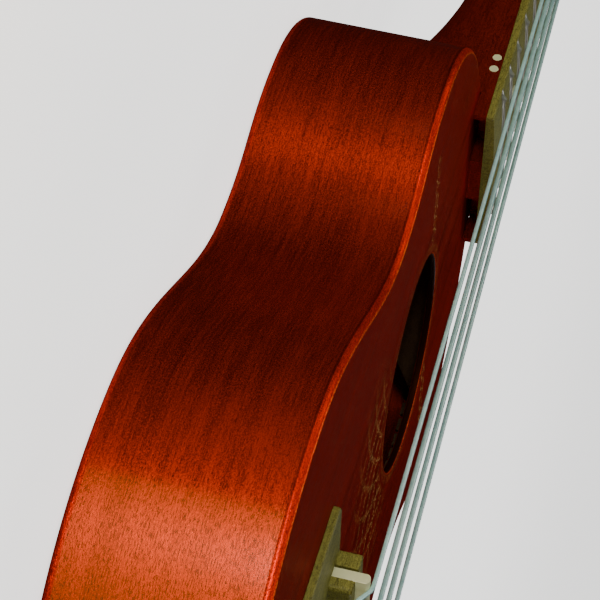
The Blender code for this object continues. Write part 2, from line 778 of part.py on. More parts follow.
def string_route(name):
    """A string's centre line from its bead under the patch to the end of its turns on the post."""
    radius = STRING_RADII[name]
    saddle, nut = string_place(name)
    x = saddle.x
    route = [(x, ANCHOR_Y, -12 * MM), (x, ANCHOR_Y, 0), (x, ANCHOR_Y, 3.6 * MM)]
    route += [(x, ANCHOR_Y + 0.8 * MM, 5.4 * MM), (x, ANCHOR_Y + 2.6 * MM, 7.2 * MM)]
    route += [(x, SADDLE_Y - 1.4 * MM, SADDLE_STRING_Z - 0.15 * MM)]
    route += [tuple(saddle + Vector((0, 0.8 * MM, 0))), tuple(saddle.lerp(nut, 0.5))]
    route.append(tuple(nut - Vector((0, 1 * MM, 0))))
    post_x, post_y = POST_PLACES[name]
    side = math.copysign(1, post_x)
    wrap = POST_RADIUS + GAP + radius
    pitch = 2 * radius + 0.35 * MM
    tangent = Vector((post_x - side * wrap, post_y, COIL_TOP))
    leave = HEAD_MATRIX.inverted() @ (nut + Vector((0, 2.5 * MM, -0.35 * MM)))
    route.append(tuple(HEAD_MATRIX @ leave))
    route.append(tuple(HEAD_MATRIX @ leave.lerp(tangent, 0.5)))
    steps = 12
    for k in range(int(COIL_TURNS * steps) + 1):
        angle = 2 * math.pi * k / steps
        height = COIL_TOP - pitch * k / steps
        across = post_x - side * wrap * math.cos(angle)
        along = post_y + wrap * math.sin(angle)
        route.append(tuple(HEAD_MATRIX @ Vector((across, along, height))))
    return route


def make_strings():
    for name, radius in STRING_RADII.items():
        line = bpy.data.curves.new(f"string_{name}", "CURVE")
        line.dimensions = "3D"
        spline = line.splines.new("POLY")
        route = string_route(name)
        spline.points.add(len(route) - 1)
        for point, place in zip(spline.points, route):
            point.co = (*place, 1)
        line.bevel_depth = radius
        line.bevel_resolution = 1
        line.use_fill_caps = True
        made = bpy.data.objects.new(f"string_{name}", line)
        made.parent = instrument
        bpy.context.collection.objects.link(made)
        line.materials.append(material(f"string_{name}", (0.62, 0.72, 0.68), 0.3))
        saddle, _ = string_place(name)
        top = -TOP_THICKNESS - PATCH[3] - 2 * GAP
        bead = moved(ring(radius + GAP, 3.4 * MM, top - 3 * MM, top, 12), (saddle.x, ANCHOR_Y, 0))
        add(f"string_bead_{name}", bead, material(f"bead_{name}", (0.05, 0.05, 0.05), 0.5), instrument)


# Tuning machines

def screw_holes():
    """Two screw holes through each housing's ears into the headstock."""
    shapes = []
    for x, y in POST_PLACES.values():
        for step in SCREW_Y:
            hole = cylinder(SCREW_HOLE, BACK_FACE - 20 * MM, BACK_FACE + 8 * MM, 12)
            shapes.append(moved(hole, (x, y + step, 0)))
    return together(shapes)


def ordered(a, b):
    return min(a, b), max(a, b)


def worm_place(x, y):
    """The worm's frame: its axis runs out past the headstock's edge."""
    side = math.copysign(1, x)
    turn = Matrix.Rotation(math.radians(90 * side), 4, "Y")
    return Matrix.Translation((x, y + WORM_OFFSET, WORM_Z)) @ turn


def make_housing(name, x, y):
    """A gear case with two screw ears, open towards the headstock."""
    side = math.copysign(1, x)
    z1 = BACK_FACE - GAP
    z0 = z1 - HOUSING_DEPTH
    x0, x1 = ordered(x + side * HOUSING_X[0], x + side * HOUSING_X[1])
    shape = box((x0, y + HOUSING_Y[0], z0), (x1, y + HOUSING_Y[1], z1))
    case = add(f"tuner_housing_{name}", shape, None, headstock)
    ears = box((x - 4.5 * MM, y + EAR_Y[0], z1 - 3 * MM), (x + 4.5 * MM, y + EAR_Y[1], z1))
    cut(case, add(f"ears_{name}", ears, None, headstock), "UNION")
    hollow = moved(cylinder(GEAR_TIP + 0.5 * MM, z0 + 1.5 * MM, z1 + 5 * MM, 24), (x, y, 0))
    cut(case, add(f"hollow_{name}", hollow, None, headstock))
    bore = worm_place(x, y)
    worm_space = moved(cylinder(WORM_CREST + 0.5 * MM, -8 * MM, 8 * MM, 16), bore)
    cut(case, add(f"worm_space_{name}", worm_space, None, headstock))
    shaft_bore = moved(cylinder(WORM_SHAFT + GAP, 0, 30 * MM, 16), bore)
    cut(case, add(f"shaft_bore_{name}", shaft_bore, None, headstock))
    cut(case, add(f"screw_bores_{name}", screw_holes(), None, headstock))
    apply_modifiers(case)
    dress(case, material(f"housing_{name}", (0.08, 0.08, 0.08), 0.35, 0.8))


def make_post(name, x, y):
    """The string post with its toothed wheel; its origin is on its axis."""
    foot = WORM_Z - GEAR_HALF - 1.2 * MM
    waist = POST_RADIUS
    profile = [(0, foot), (waist - 1.2 * MM, foot), (waist, foot + MM), (waist, 11.5 * MM)]
    profile += [(waist + 0.6 * MM, 12.5 * MM), (waist + 0.6 * MM, POST_TOP - 0.6 * MM)]
    profile += [(waist, POST_TOP), (0, POST_TOP)]
    post = add(f"tuner_post_{name}", turned(profile, 16), None, headstock, smooth=True)
    post.location = (x, y, 0)
    outline = []
    for k in range(GEAR_TEETH):
        for share, radius in ((0.0, 0.86), (0.28, 0.86), (0.42, 1.0), (0.72, 1.0)):
            a = 2 * math.pi * (k + share) / GEAR_TEETH
            outline.append((GEAR_TIP * radius * math.cos(a), GEAR_TIP * radius * math.sin(a)))
    wheel = add(f"wheel_{name}", prism(outline, WORM_Z - GEAR_HALF, WORM_Z + GEAR_HALF), None, headstock)
    wheel.location = (x, y, 0)
    cut(post, wheel, "UNION")
    slot = add(f"slot_{name}", box((-1.1 * MM, -9 * MM, 12 * MM), (1.1 * MM, 9 * MM, 20 * MM)), None, headstock)
    slot.location = (x, y, 0)
    cut(post, slot)
    apply_modifiers(post)
    dress(post, material(f"post_{name}", (0.55, 0.54, 0.52), 0.25, 1.0))


def make_worm(name, x, y):
    """The worm, its shaft and the button; both have their origin on the worm's axis."""
    end = BUTTON_START - abs(x) + 7 * MM
    profile = [(0, -7 * MM), (1.5 * MM, -7 * MM)]
    for k in range(4):
        start = (-6 + 3 * k) * MM
        profile += [(1.5 * MM, start), (WORM_CREST, start + 0.8 * MM), (WORM_CREST, start + 1.6 * MM)]
        profile += [(1.5 * MM, start + 2.4 * MM)]
    profile += [(WORM_SHAFT, 7.5 * MM), (WORM_SHAFT, end), (0, end)]
    place = worm_place(x, y)
    worm = add(f"tuner_worm_{name}", turned(profile, 10), material(f"worm_{name}", (0.6, 0.58, 0.5), 0.3, 1.0),
               headstock, smooth=True)
    worm.matrix_local = place
    start = BUTTON_START - abs(x)
    bore = WORM_SHAFT + GAP
    knob = [(0, 7 * MM + GAP), (bore, 7 * MM + GAP), (bore, 0), (3.0 * MM, 0), (3.4 * MM, 2 * MM)]
    knob += [(7.0 * MM, 4.2 * MM), (8.3 * MM, 6.4 * MM), (8.0 * MM, 9.2 * MM), (5.0 * MM, 11.4 * MM), (0, 12 * MM)]
    shape = moved(turned(knob, 16), (0, 0, start))
    for vertex in shape.verts:
        reach = math.hypot(vertex.co.x, vertex.co.y)
        if reach > 3.2 * MM:
            vertex.co.x *= 1 - 0.45 * (reach - 3.2 * MM) / (8.3 * MM - 3.2 * MM)
    button = add(f"tuner_button_{name}", shape, material(f"button_{name}", (0.06, 0.05, 0.04), 0.35),
                 headstock, smooth=True)
    button.matrix_local = place


def make_bushing(name, x, y):
    """The flanged sleeve that carries the post in the headstock's face."""
    inner = POST_RADIUS + GAP
    corners = [(inner, -11 * MM), (BUSHING_BARREL, -11 * MM), (BUSHING_BARREL, GAP), (BUSHING_RADIUS, GAP)]
    corners += [(BUSHING_RADIUS, 2 * MM), (BUSHING_RADIUS - MM, 2.6 * MM), (inner, 2.6 * MM)]
    nickel = material(f"bushing_{name}", (0.65, 0.63, 0.60), 0.25, 1.0)
    sleeve = add(f"post_bushing_{name}", turned_ring(corners, 16), nickel, headstock, smooth=True)
    sleeve.location = (x, y, 0)


def make_tuners():
    for name, (x, y) in POST_PLACES.items():
        make_housing(name, x, y)
        make_post(name, x, y)
        make_worm(name, x, y)
        make_bushing(name, x, y)


make_soundboard()
make_back()
make_sides()
make_linings()
make_blocks()
make_neck_bolts()
make_braces()
make_neck()
make_fingerboard()
make_nut()
make_headstock_plate()
make_bridge()
make_strings()
make_tuners()
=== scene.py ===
"""Looks of the four-string acoustic bass ukulele: fine shapes, materials, floor, light and camera.

Shapes are made in the plan axes of the instrument: +X treble, +Y from the tail to the headstock,
+Z out of the soundboard, z = 0 on the soundboard's face. PLAN turns them into the model's frame.
"""
import math

import bmesh
import bpy
from mathutils import Matrix, Vector


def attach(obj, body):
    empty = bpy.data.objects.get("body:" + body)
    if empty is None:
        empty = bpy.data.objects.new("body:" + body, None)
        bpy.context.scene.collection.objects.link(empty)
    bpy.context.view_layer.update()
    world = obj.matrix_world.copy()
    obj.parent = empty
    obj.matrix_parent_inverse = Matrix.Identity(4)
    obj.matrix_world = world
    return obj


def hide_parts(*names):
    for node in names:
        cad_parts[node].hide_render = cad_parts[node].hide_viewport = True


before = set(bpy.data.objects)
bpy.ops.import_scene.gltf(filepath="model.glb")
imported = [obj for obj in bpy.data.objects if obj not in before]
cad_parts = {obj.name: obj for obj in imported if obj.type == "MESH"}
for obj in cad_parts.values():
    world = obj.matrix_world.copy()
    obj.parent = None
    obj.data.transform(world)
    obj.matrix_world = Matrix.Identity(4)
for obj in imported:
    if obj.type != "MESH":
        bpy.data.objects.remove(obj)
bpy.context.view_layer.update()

MM = 0.001
SEAM = 0.05 * MM

# Body
BODY_LENGTH = 353.8 * MM
# Each stretch of the outline from the neck end to the tail: its two handles in mm, and its steps
STRETCHES = ((44.2, 43.7, 70), (31.8, 30.5, 40), (32.2, 41.2, 55), (61.1, 83.4, 75))
UPPER_BOUT = (97.8 * MM, 279.7 * MM)
WAIST = (84.4 * MM, 217.8 * MM)
LOWER_BOUT = (127.4 * MM, 107.3 * MM)
TAIL_DEPTH = 65.6 * MM
DEPTH_TAPER = 0.0182
TOP_THICKNESS = 2.6 * MM
BACK_THICKNESS = 2.8 * MM
SIDE_THICKNESS = 2.3 * MM
RIM_ROUND = 2.2 * MM
RIM_LIP = 2.9 * MM
BACK_ROUND = 2.2 * MM
LINING_WIDTH = 5.5 * MM
LINING_HEIGHT = 9 * MM
LINING_TOE = 2.5 * MM
LINING_BLOCK = 4.4 * MM
LINING_CUT = 0.9 * MM
HOLE_Y = 243.3 * MM
HOLE_RADIUS = 38.9 * MM
HOLE_EDGE = 0.7 * MM
ROSETTE = (44.3 * MM, 51.7 * MM)
STRIP_HALF = 3.9 * MM
REST_Y = 160 * MM

# Strings
SCALE = 494 * MM
SADDLE_Y = 119 * MM
SADDLE_STRING_Z = 15.8 * MM
NUT_STRING_Z = 6.7 * MM
SADDLE_SPREAD = (37.6 * MM, 11.7 * MM)
NUT_SPREAD = (18.1 * MM, 6.3 * MM)
STRING_RADII = {"e": 0.78 * MM, "a": 0.95 * MM, "d": 0.93 * MM, "g": 0.86 * MM}
ANCHOR_Y = 100 * MM
ANCHOR_HOLE = 1.4 * MM

# Bridge and saddle
BRIDGE_HALF = 63.8 * MM
BRIDGE_Y = (87 * MM, 128.6 * MM)
WING_HEIGHT = 2.6 * MM
BLOCK_HALF = 41.5 * MM
BLOCK_Y = (112.5 * MM, 128.2 * MM)
BLOCK_HEIGHT = 10.3 * MM
SADDLE_HALF = 41.3 * MM
SADDLE_THICKNESS = 4.0 * MM
SADDLE_SEAT = 0.4 * MM
SADDLE_ROUND = 1.3 * MM

# Neck, fingerboard and headstock
NUT_Y = SADDLE_Y + SCALE
NUT_THICKNESS = 5 * MM
BOARD_END_Y = 336 * MM
BOARD_THICKNESS = 4.0 * MM
BOARD_GAP = 0.3 * MM
BOARD_CROWN = 380 * MM
BOARD_EDGE = 0.7 * MM
DOT_SPREAD = 11.5 * MM
NECK_TOP_Z = 4.6 * MM
NECK_SLOPE = 0.0145
BOARD_HALF = (33.5 * MM, 21.8 * MM)
NECK_THICKNESS = (24 * MM, 19 * MM)
HEEL_DEPTH = 60.4 * MM
HEEL_LENGTH = 104 * MM
HEEL_CURVE = 2.67
HEEL_TAPER = 0.27
NECK_CHEEK = 5 * MM
FRETS = 13
FRET_HALF = 1.15 * MM
OCTAVE_Y = SADDLE_Y + SCALE / 2
SIDE_DOTS = (OCTAVE_Y - 3.2 * MM, OCTAVE_Y + 3.2 * MM)
HEAD_TILT = math.radians(9) + math.atan(NECK_SLOPE)
HEAD_LENGTH = 150 * MM
HEAD_THICKNESS = 13 * MM
HEAD_PLATE = 1.5 * MM
HEAD_WIDTHS = (22 * MM, 35 * MM)

# Tuning machines, in the headstock's frame
POSTS = {
    "e": (-22 * MM, 40 * MM),
    "a": (-22 * MM, 98 * MM),
    "d": (22 * MM, 98 * MM),
    "g": (22 * MM, 40 * MM),
}
POST_RADIUS = 3.6 * MM
POST_TOP = 15 * MM
POST_HOLE = 4.6 * MM
COIL_TOP = 10.2 * MM
COIL_TURNS = 2.4
WORM_OFFSET = 9.2 * MM
WORM_SHAFT = 1.8 * MM
GEAR_TEETH = 12
GEAR_TIP = 6.4 * MM
GEAR_HALF = 2.2 * MM
HOUSING_DEPTH = 10.5 * MM
SCREW_Y = (-13 * MM, 18 * MM)
BUTTON_START = 38.5 * MM
BUTTON_ROUND = 3.2 * MM
BACK_FACE = -HEAD_PLATE - BOARD_GAP - HEAD_THICKNESS
WORM_Z = BACK_FACE - BOARD_GAP - HOUSING_DEPTH / 2


def back_outside(y):
    return -(TAIL_DEPTH - DEPTH_TAPER * y)


def back_inside(y):
    return back_outside(y) + BACK_THICKNESS


def neck_top(y):
    return NECK_TOP_Z - NECK_SLOPE * (y - BOARD_END_Y)


def board_half(y):
    share = (y - BOARD_END_Y) / (NUT_Y - BOARD_END_Y)
    return BOARD_HALF[0] + (BOARD_HALF[1] - BOARD_HALF[0]) * share


def board_top(x, y):
    """The fingerboard's crowned face."""
    return neck_top(y) + BOARD_GAP + BOARD_THICKNESS - x * x / (2 * BOARD_CROWN)


def string_x(name, spread):
    """Where a string crosses, from the (outer, inner) distances off the centre line."""
    side = -1 if name in "ea" else 1
    return side * spread[0 if name in "eg" else 1]


def at(x, y, z=0):
    return Matrix.Translation((x, y, z))


TILT = Matrix.Rotation(-math.atan(DEPTH_TAPER), 4, "X")
PLAN = Matrix.Translation(-(TILT @ Vector((0, REST_Y, back_outside(REST_Y))))) @ TILT
HEAD_START = Vector((0, NUT_Y + NUT_THICKNESS + BOARD_GAP, neck_top(NUT_Y) - 0.4 * MM))
HEAD = PLAN @ Matrix.Translation(HEAD_START) @ Matrix.Rotation(-HEAD_TILT, 4, "X")


# Making meshes

def linked(name, data):
    """A new object in the scene."""
    made = bpy.data.objects.new(name, data)
    bpy.context.scene.collection.objects.link(made)
    return made


def mesh_of(name, shape):
    """Turns a bmesh into a mesh whose faces look outwards."""
    bmesh.ops.recalc_face_normals(shape, faces=shape.faces)
    mesh = bpy.data.meshes.new(name)
    shape.to_mesh(mesh)
    shape.free()
    return mesh


def new_piece(name, shape, look, replaces=None, body="instrument", place=PLAN, angle=35):
    """Turns a bmesh into a piece that rides on a body; place takes it into the model's frame."""
    mesh = mesh_of(name, shape)
    mesh.transform(place)
    mesh.shade_smooth()
    mesh.set_sharp_from_angle(angle=math.radians(angle))
    mesh.materials.append(look)
    made = linked(name, mesh)
    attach(made, body)
    if replaces:
        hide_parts(replaces)


def combined(base, steps):
    """The bmesh left after a row of ("UNION" or "DIFFERENCE", bmesh) steps on a base bmesh."""
    target = linked("scratch", mesh_of("scratch", base))
    tools = []
    for operation, shape in steps:
        tool = linked("scratch", mesh_of("scratch", shape))
        tools.append(tool)
        step = target.modifiers.new("step", "BOOLEAN")
        step.operation = operation
        step.solver = "EXACT"
        step.object = tool
    view = bpy.context.evaluated_depsgraph_get()
    result = bmesh.new()
    mesh = bpy.data.meshes.new_from_object(target.evaluated_get(view))
    result.from_mesh(mesh)
    for made in tools + [target]:
        bpy.data.objects.remove(made)
    bmesh.ops.remove_doubles(result, verts=result.verts, dist=1e-6)
    return result


def skin(rings, closed=True, caps=True, around=False):
    """Faces between rows of points; closed joins a row's ends, around joins the last row to the first."""
    made = bmesh.new()
    rows = [[made.verts.new(point) for point in ring] for ring in rings]
    count = len(rows[0])
    pairs = list(zip(rows, rows[1:]))
    if around:
        pairs.append((rows[-1], rows[0]))
    for here, after in pairs:
        for i in range(count if closed else count - 1):
            j = (i + 1) % count
            made.faces.new((here[i], here[j], after[j], after[i]))
    if caps and not around:
        made.faces.new(rows[0])
        made.faces.new(rows[-1])
    return made


def merge(shapes):
    whole = bmesh.new()
    for shape in shapes:
        mesh = mesh_of("part", shape)
        whole.from_mesh(mesh)
        bpy.data.meshes.remove(mesh)
    return whole


def moved(shape, matrix):
    bmesh.ops.transform(shape, matrix=matrix, verts=shape.verts)
    return shape


def inset(loop, distance):
    """A closed anticlockwise loop moved inwards by a distance, with mitred corners."""
    result = []
    count = len(loop)
    for i in range(count):
        p, q, r = (Vector(loop[k % count][:2]) for k in (i - 1, i, i + 1))
        a = (q - p).normalized()
        b = (r - q).normalized()
        na, nb = Vector((-a.y, a.x)), Vector((-b.y, b.x))
        middle = (na + nb).normalized()
        result.append(tuple(q + middle * (distance / max(0.4, middle.dot(na)))))
    return result


def arc_steps(steps, turn=math.pi / 2):
    return [turn * k / steps for k in range(steps + 1)]


def prism(loop, low, high):
    return skin([[(x, y, z) for x, y in loop] for z in (low, high)])


def slab(loop, low, high, low_round=0.0, high_round=0.5 * MM, steps=4):
    """A plate with rounded edges; low and high are numbers or functions of (x, y)."""
    low_at = low if callable(low) else (lambda x, y: low)
    high_at = high if callable(high) else (lambda x, y: high)
    rings = []
    for a in arc_steps(steps) if low_round else (0.0,):
        rim = inset(loop, low_round * (1 - math.sin(a))) if low_round else loop
        lift = low_round * (1 - math.cos(a)) if low_round else 0
        rings.append([(x, y, low_at(x, y) + lift) for x, y in rim])
    for a in arc_steps(steps) if high_round else (0.0,):
        rim = inset(loop, high_round * (1 - math.cos(a))) if high_round else loop
        drop = high_round * (1 - math.sin(a)) if high_round else 0
        rings.append([(x, y, high_at(x, y) - drop) for x, y in rim])
    if high_round:
        rings.append([(x, y, high_at(x, y)) for x, y in inset(loop, high_round * 1.3)])
    return skin(rings)


def turned(profile, segments=48):
    """A solid of revolution about z from (radius, z) points; it may start and end on the axis."""
    made = bmesh.new()
    rows = []
    for radius, z in profile:
        if radius == 0:
            rows.append([made.verts.new((0, 0, z))])
            continue
        angles = [2 * math.pi * k / segments for k in range(segments)]
        rows.append([made.verts.new((radius * math.cos(a), radius * math.sin(a), z)) for a in angles])
    pairs = list(zip(rows, rows[1:]))
    if profile[0][0] and profile[-1][0]:
        pairs.append((rows[-1], rows[0]))
    for here, after in pairs:
        for k in range(segments):
            n = (k + 1) % segments
            if len(here) == 1:
                made.faces.new((here[0], after[k], after[n]))
            elif len(after) == 1:
                made.faces.new((here[k], after[0], here[n]))
            else:
                made.faces.new((here[k], after[k], after[n], here[n]))
    return made


def rod(radius, low, high, segments=32):
    return turned([(0, low), (radius, low), (radius, high), (0, high)], segments)


def eased(corners, radius, steps=4, closed=False):
    """A line of 2-D corners with each inner corner replaced by a small arc."""
    result = []
    count = len(corners)
    for i, corner in enumerate(corners):
        if not closed and i in (0, count - 1):
            result.append(tuple(corner))
            continue
        q = Vector(corner)
        before = Vector(corners[i - 1]) - q
        after = Vector(corners[(i + 1) % count]) - q
        reach = min(radius, before.length * 0.45, after.length * 0.45)
        start, end = q + before.normalized() * reach, q + after.normalized() * reach
        for k in range(steps + 1):
            t = k / steps
            result.append(tuple(start * (1 - t) ** 2 + q * 2 * t * (1 - t) + end * t * t))
    return result


def rectangle(x0, x1, y0, y1, radius=0.0, steps=6):
    corners = [(x0, y0), (x1, y0), (x1, y1), (x0, y1)]
    return eased(corners, radius, steps, closed=True) if radius else corners


# Plan outline of the body

def bezier(p0, p1, p2, p3, steps):
    line = []
    for k in range(steps):
        t = k / steps
        s = 1 - t
        point = p0 * s ** 3 + 3 * p1 * s * s * t + 3 * p2 * s * t * t + p3 * t ** 3
        along = 3 * (p1 - p0) * s * s + 6 * (p2 - p1) * s * t + 3 * (p3 - p2) * t * t
        along.normalize()
        line.append((point, Vector((-along.y, along.x))))
    return line


def half_outline():
    """(point, outward normal) on the treble half, from the neck end's centre to the tail's centre."""
    tail = Vector((0, 0))
    spots = (Vector((0, BODY_LENGTH)), Vector(UPPER_BOUT), Vector(WAIST), Vector(LOWER_BOUT), tail)
    across, along = Vector((1, 0)), Vector((0, 1))
    leaving = (across, -along, -along, -along)
    arriving = (along, along, along, across)
    line = []
    for k, (out, back, steps) in enumerate(STRETCHES):
        start, end = spots[k], spots[k + 1]
        line += bezier(start, start + leaving[k] * out * MM, end + arriving[k] * back * MM, end, steps)
    line.append((tail, Vector((0, -1))))
    return line


HALF = half_outline()


def rim_loop(distance):
    """The whole outline moved inwards, anticlockwise from above, starting at the tail."""
    treble = [(p.x - n.x * distance, p.y - n.y * distance) for p, n in HALF]
    bass = [(-x, y) for x, y in treble]
    return treble[::-1] + bass[1:-1]


def rim_ring(distance, height):
    z_at = height if callable(height) else (lambda y: height)
    return [(x, y, z_at(y)) for x, y in rim_loop(distance)]


def hole_ring(radius, z):
    """A ring round the sound hole whose points match those of the outline by direction."""
    result = []
    for x, y in rim_loop(0):
        away = Vector((x, y - HOLE_Y)).normalized()
        result.append((away.x * radius, HOLE_Y + away.y * radius, z))
    return result


# Materials

RELIEF_DEPTH = 0.1 * MM
# Texture scales across and along the grain, in waves per metre
BANDS = (120, 3)
FIBRES = (1100, 60)
PORES = (2400, 420)
SPECKLE = (1700, 1300)
CLOUD = (16, 10)
GLINTS = (3200, 1900)
# Colours
MAHOGANY_DARK = (0.17, 0.0092, 0.0018)
MAHOGANY_LIGHT = (0.46, 0.0250, 0.0036)
MAHOGANY_PORE = (0.05, 0.0034, 0.0007)
MAHOGANY_SHEEN = (1.0, 0.32, 0.14)
# Painted highlight on the rounded rims: lighter red tones, and a brighter colour for a line along the crest
RIM_HIGHLIGHT_TONES = ((0.42, 0.012, 0.002), (0.85, 0.032, 0.004))
CREST_HIGHLIGHT = (1.0, 0.22, 0.04)
ETCHED = (1.0, 0.66, 0.20)
# Painted shade: near-black colour on the wall inside the sound hole
HOLE_WALL_SHADE = (0.02, 0.003, 0.001)
# Etching, in mm from the centre of the sound hole
THIN_RING = (39.6, 40.2, 42.0, 43.5)
FAN_REACH = (44.0, 46.0, 60.0, 90.0)
CHAIN_Y = 28.0
CHAIN_X = (32, 34, 74, 76)
CHAIN_SWING = 2.2


class Look:
    """A Principled material, with short calls for its nodes."""

    def __init__(self, name):
        self.mat = bpy.data.materials.new(name)
        self.mat.use_nodes = True
        self.tree = self.mat.node_tree
        self.shader = self.tree.nodes["Principled BSDF"]

    def node(self, kind, **settings):
        made = self.tree.nodes.new(kind)
        for key, value in settings.items():
            setattr(made, key, value)
        return made

    @staticmethod
    def fill(node, **values):
        for key, value in values.items():
            node.inputs[key.replace("_", " ")].default_value = value

    def link(self, source, target):
        self.tree.links.new(source, target)

    def put(self, socket, value):
        if hasattr(value, "is_linked"):
            self.link(value, socket)
        else:
            socket.default_value = value

    def coords(self, scale, source="Object", shift=(0, 0, 0)):
        place = self.node("ShaderNodeTexCoord")
        mapping = self.node("ShaderNodeMapping")
        self.link(place.outputs[source], mapping.inputs["Vector"])
        self.fill(mapping, Scale=scale, Location=shift)
        return mapping.outputs["Vector"]

    def noise(self, vector, scale=1.0, detail=3.0, roughness=0.5, distortion=0.0):
        made = self.node("ShaderNodeTexNoise")
        self.link(vector, made.inputs["Vector"])
        self.fill(made, Scale=scale, Detail=detail, Roughness=roughness, Distortion=distortion)
        return made.outputs["Fac"]

    def span(self, value, low, high, out_low=0.0, out_high=1.0):
        made = self.node("ShaderNodeMapRange")
        self.put(made.inputs["Value"], value)
        self.fill(made, From_Min=low, From_Max=high, To_Min=out_low, To_Max=out_high)
        return made.outputs["Result"]

    def math(self, operation, a, b=0.0):
        made = self.node("ShaderNodeMath", operation=operation)
        self.put(made.inputs[0], a)
        self.put(made.inputs[1], b)
        return made.outputs[0]

    def times(self, *values):
        product = values[0]
        for value in values[1:]:
            product = self.math("MULTIPLY", product, value)
        return product

    def mix(self, share, a, b):
        made = self.node("ShaderNodeMix", data_type="RGBA")
        self.put(made.inputs[0], share)
        self.put(made.inputs[6], (*a, 1) if isinstance(a, tuple) else a)
        self.put(made.inputs[7], (*b, 1) if isinstance(b, tuple) else b)
        return made.outputs[2]

    def relief(self, height, strength):
        """Raises or sinks the surface by up to a tenth of a millimetre."""
        made = self.node("ShaderNodeBump")
        self.link(height, made.inputs["Height"])
        self.fill(made, Strength=strength, Distance=RELIEF_DEPTH)
        self.link(made.outputs["Normal"], self.shader.inputs["Normal"])

    def color(self, value):
        self.put(self.shader.inputs["Base Color"], (*value, 1) if isinstance(value, tuple) else value)

    def rough(self, value):
        self.put(self.shader.inputs["Roughness"], value)

    def set(self, **values):
        self.fill(self.shader, **values)


def along_y(fine, coarse):
    """Texture scales for grain that runs along y."""
    return (fine, coarse, fine)


def along_rib(fine, coarse):
    """Texture scales for grain along the first texture axis."""
    return (coarse, fine, 1)


def wood(name, dark, light, pore, source="Object", grain=along_y, shift=(0, 0, 0), roughness=(0.38, 0.5),
         pore_depth=0.6, specular=0.5, lustre=0.0, coat=0.0, gloss=0.25, tint=(1, 1, 1), etched=False,
         rimmed=False):
    """Straight-grained wood: slow colour bands, fine fibres, dark pores, a speckle and painted glints."""
    look = Look(name)

    def grained(scales, detail, harshness=0.5, distortion=0.0):
        return look.noise(look.coords(grain(*scales), source, shift), 1.0, detail, harshness, distortion)

    bands = grained(BANDS, 4.0, 0.6, 0.4)
    fibres = grained(FIBRES, 3.0, 0.65)
    pores = grained(PORES, 2.0)
    speckle = grained(SPECKLE, 2.0, 0.6)
    cloud = grained(CLOUD, 3.0, 0.55)
    tone = look.math("ADD", look.span(bands, 0.34, 0.66, 0, 0.45), look.span(fibres, 0.3, 0.7, 0, 0.55))
    tone = look.math("ADD", tone, look.span(cloud, 0.3, 0.7, -0.15, 0.15))
    tone = look.math("ADD", tone, look.span(speckle, 0.34, 0.66, -0.3, 0.3))
    # Painted glints: fine bright flecks added to the colour
    tone = look.math("ADD", tone, look.span(grained(GLINTS, 1.0), 0.45, 0.75, -0.12, 0.7))
    color = look.mix(tone, dark, light)
    holes = look.span(pores, 0.54, 0.66)
    color = look.mix(look.times(holes, pore_depth), color, pore)
    # Painted highlight: the rounded rim edges get lighter tones and a bright crest line
    if rimmed:
        color = painted_rim_highlight(look, color, tone, speckle)
    metal = lustre
    # Where etched: the etched dots, and painted shade darkening the sound hole's wall, which also loses its
    # metal shine
    if etched:
        dots, wall = etching_and_hole_shade(look)
        color = look.mix(wall, look.mix(dots, color, ETCHED), HOLE_WALL_SHADE)
        metal = look.times(look.math("SUBTRACT", 1.0, look.math("MAXIMUM", dots, wall)), lustre)
    look.color(color)
    look.put(look.shader.inputs["Metallic"], metal)
    look.rough(look.span(look.math("ADD", fibres, speckle), 0.7, 1.3, *roughness))
    height = look.math("SUBTRACT", look.times(speckle, 0.8), look.times(holes, 0.8))
    look.relief(look.math("ADD", height, look.times(fibres, 0.6)), 0.65)
    look.set(Specular_IOR_Level=specular, Specular_Tint=(*tint, 1), Coat_Weight=coat, Coat_Roughness=gloss)
    return look.mat


def painted_rim_highlight(look, color, tone, speckle):
    """Painted highlight on the rounded edge: lighter tones where the rounding catches light, with a broken
    painted bright line along its crest.
    """
    facing = look.node("ShaderNodeSeparateXYZ")
    look.link(look.node("ShaderNodeNewGeometry").outputs["Normal"], facing.inputs[0])
    steep = look.math("ABSOLUTE", facing.outputs["Z"])
    # Painted highlight: the rounding, found from how steep its normal is, takes the lighter rim tones
    rim = look.times(look.span(steep, 0.985, 0.93), look.span(steep, 0.03, 0.10))
    color = look.mix(rim, color, look.mix(tone, *RIM_HIGHLIGHT_TONES))
    # Painted highlight: a broken bright line along the crest
    crest = look.times(look.span(steep, 0.80, 0.90), look.span(steep, 0.995, 0.96))
    return look.mix(look.times(crest, look.span(speckle, 0.42, 0.60, 0.0, 0.8)), color, CREST_HIGHLIGHT)


def window(look, value, limits):
    """1 between the inner two of four rising limits, and 0 beyond the outer two."""
    low, full, still, high = limits
    return look.times(look.span(value, low, full), look.span(value, high, still))


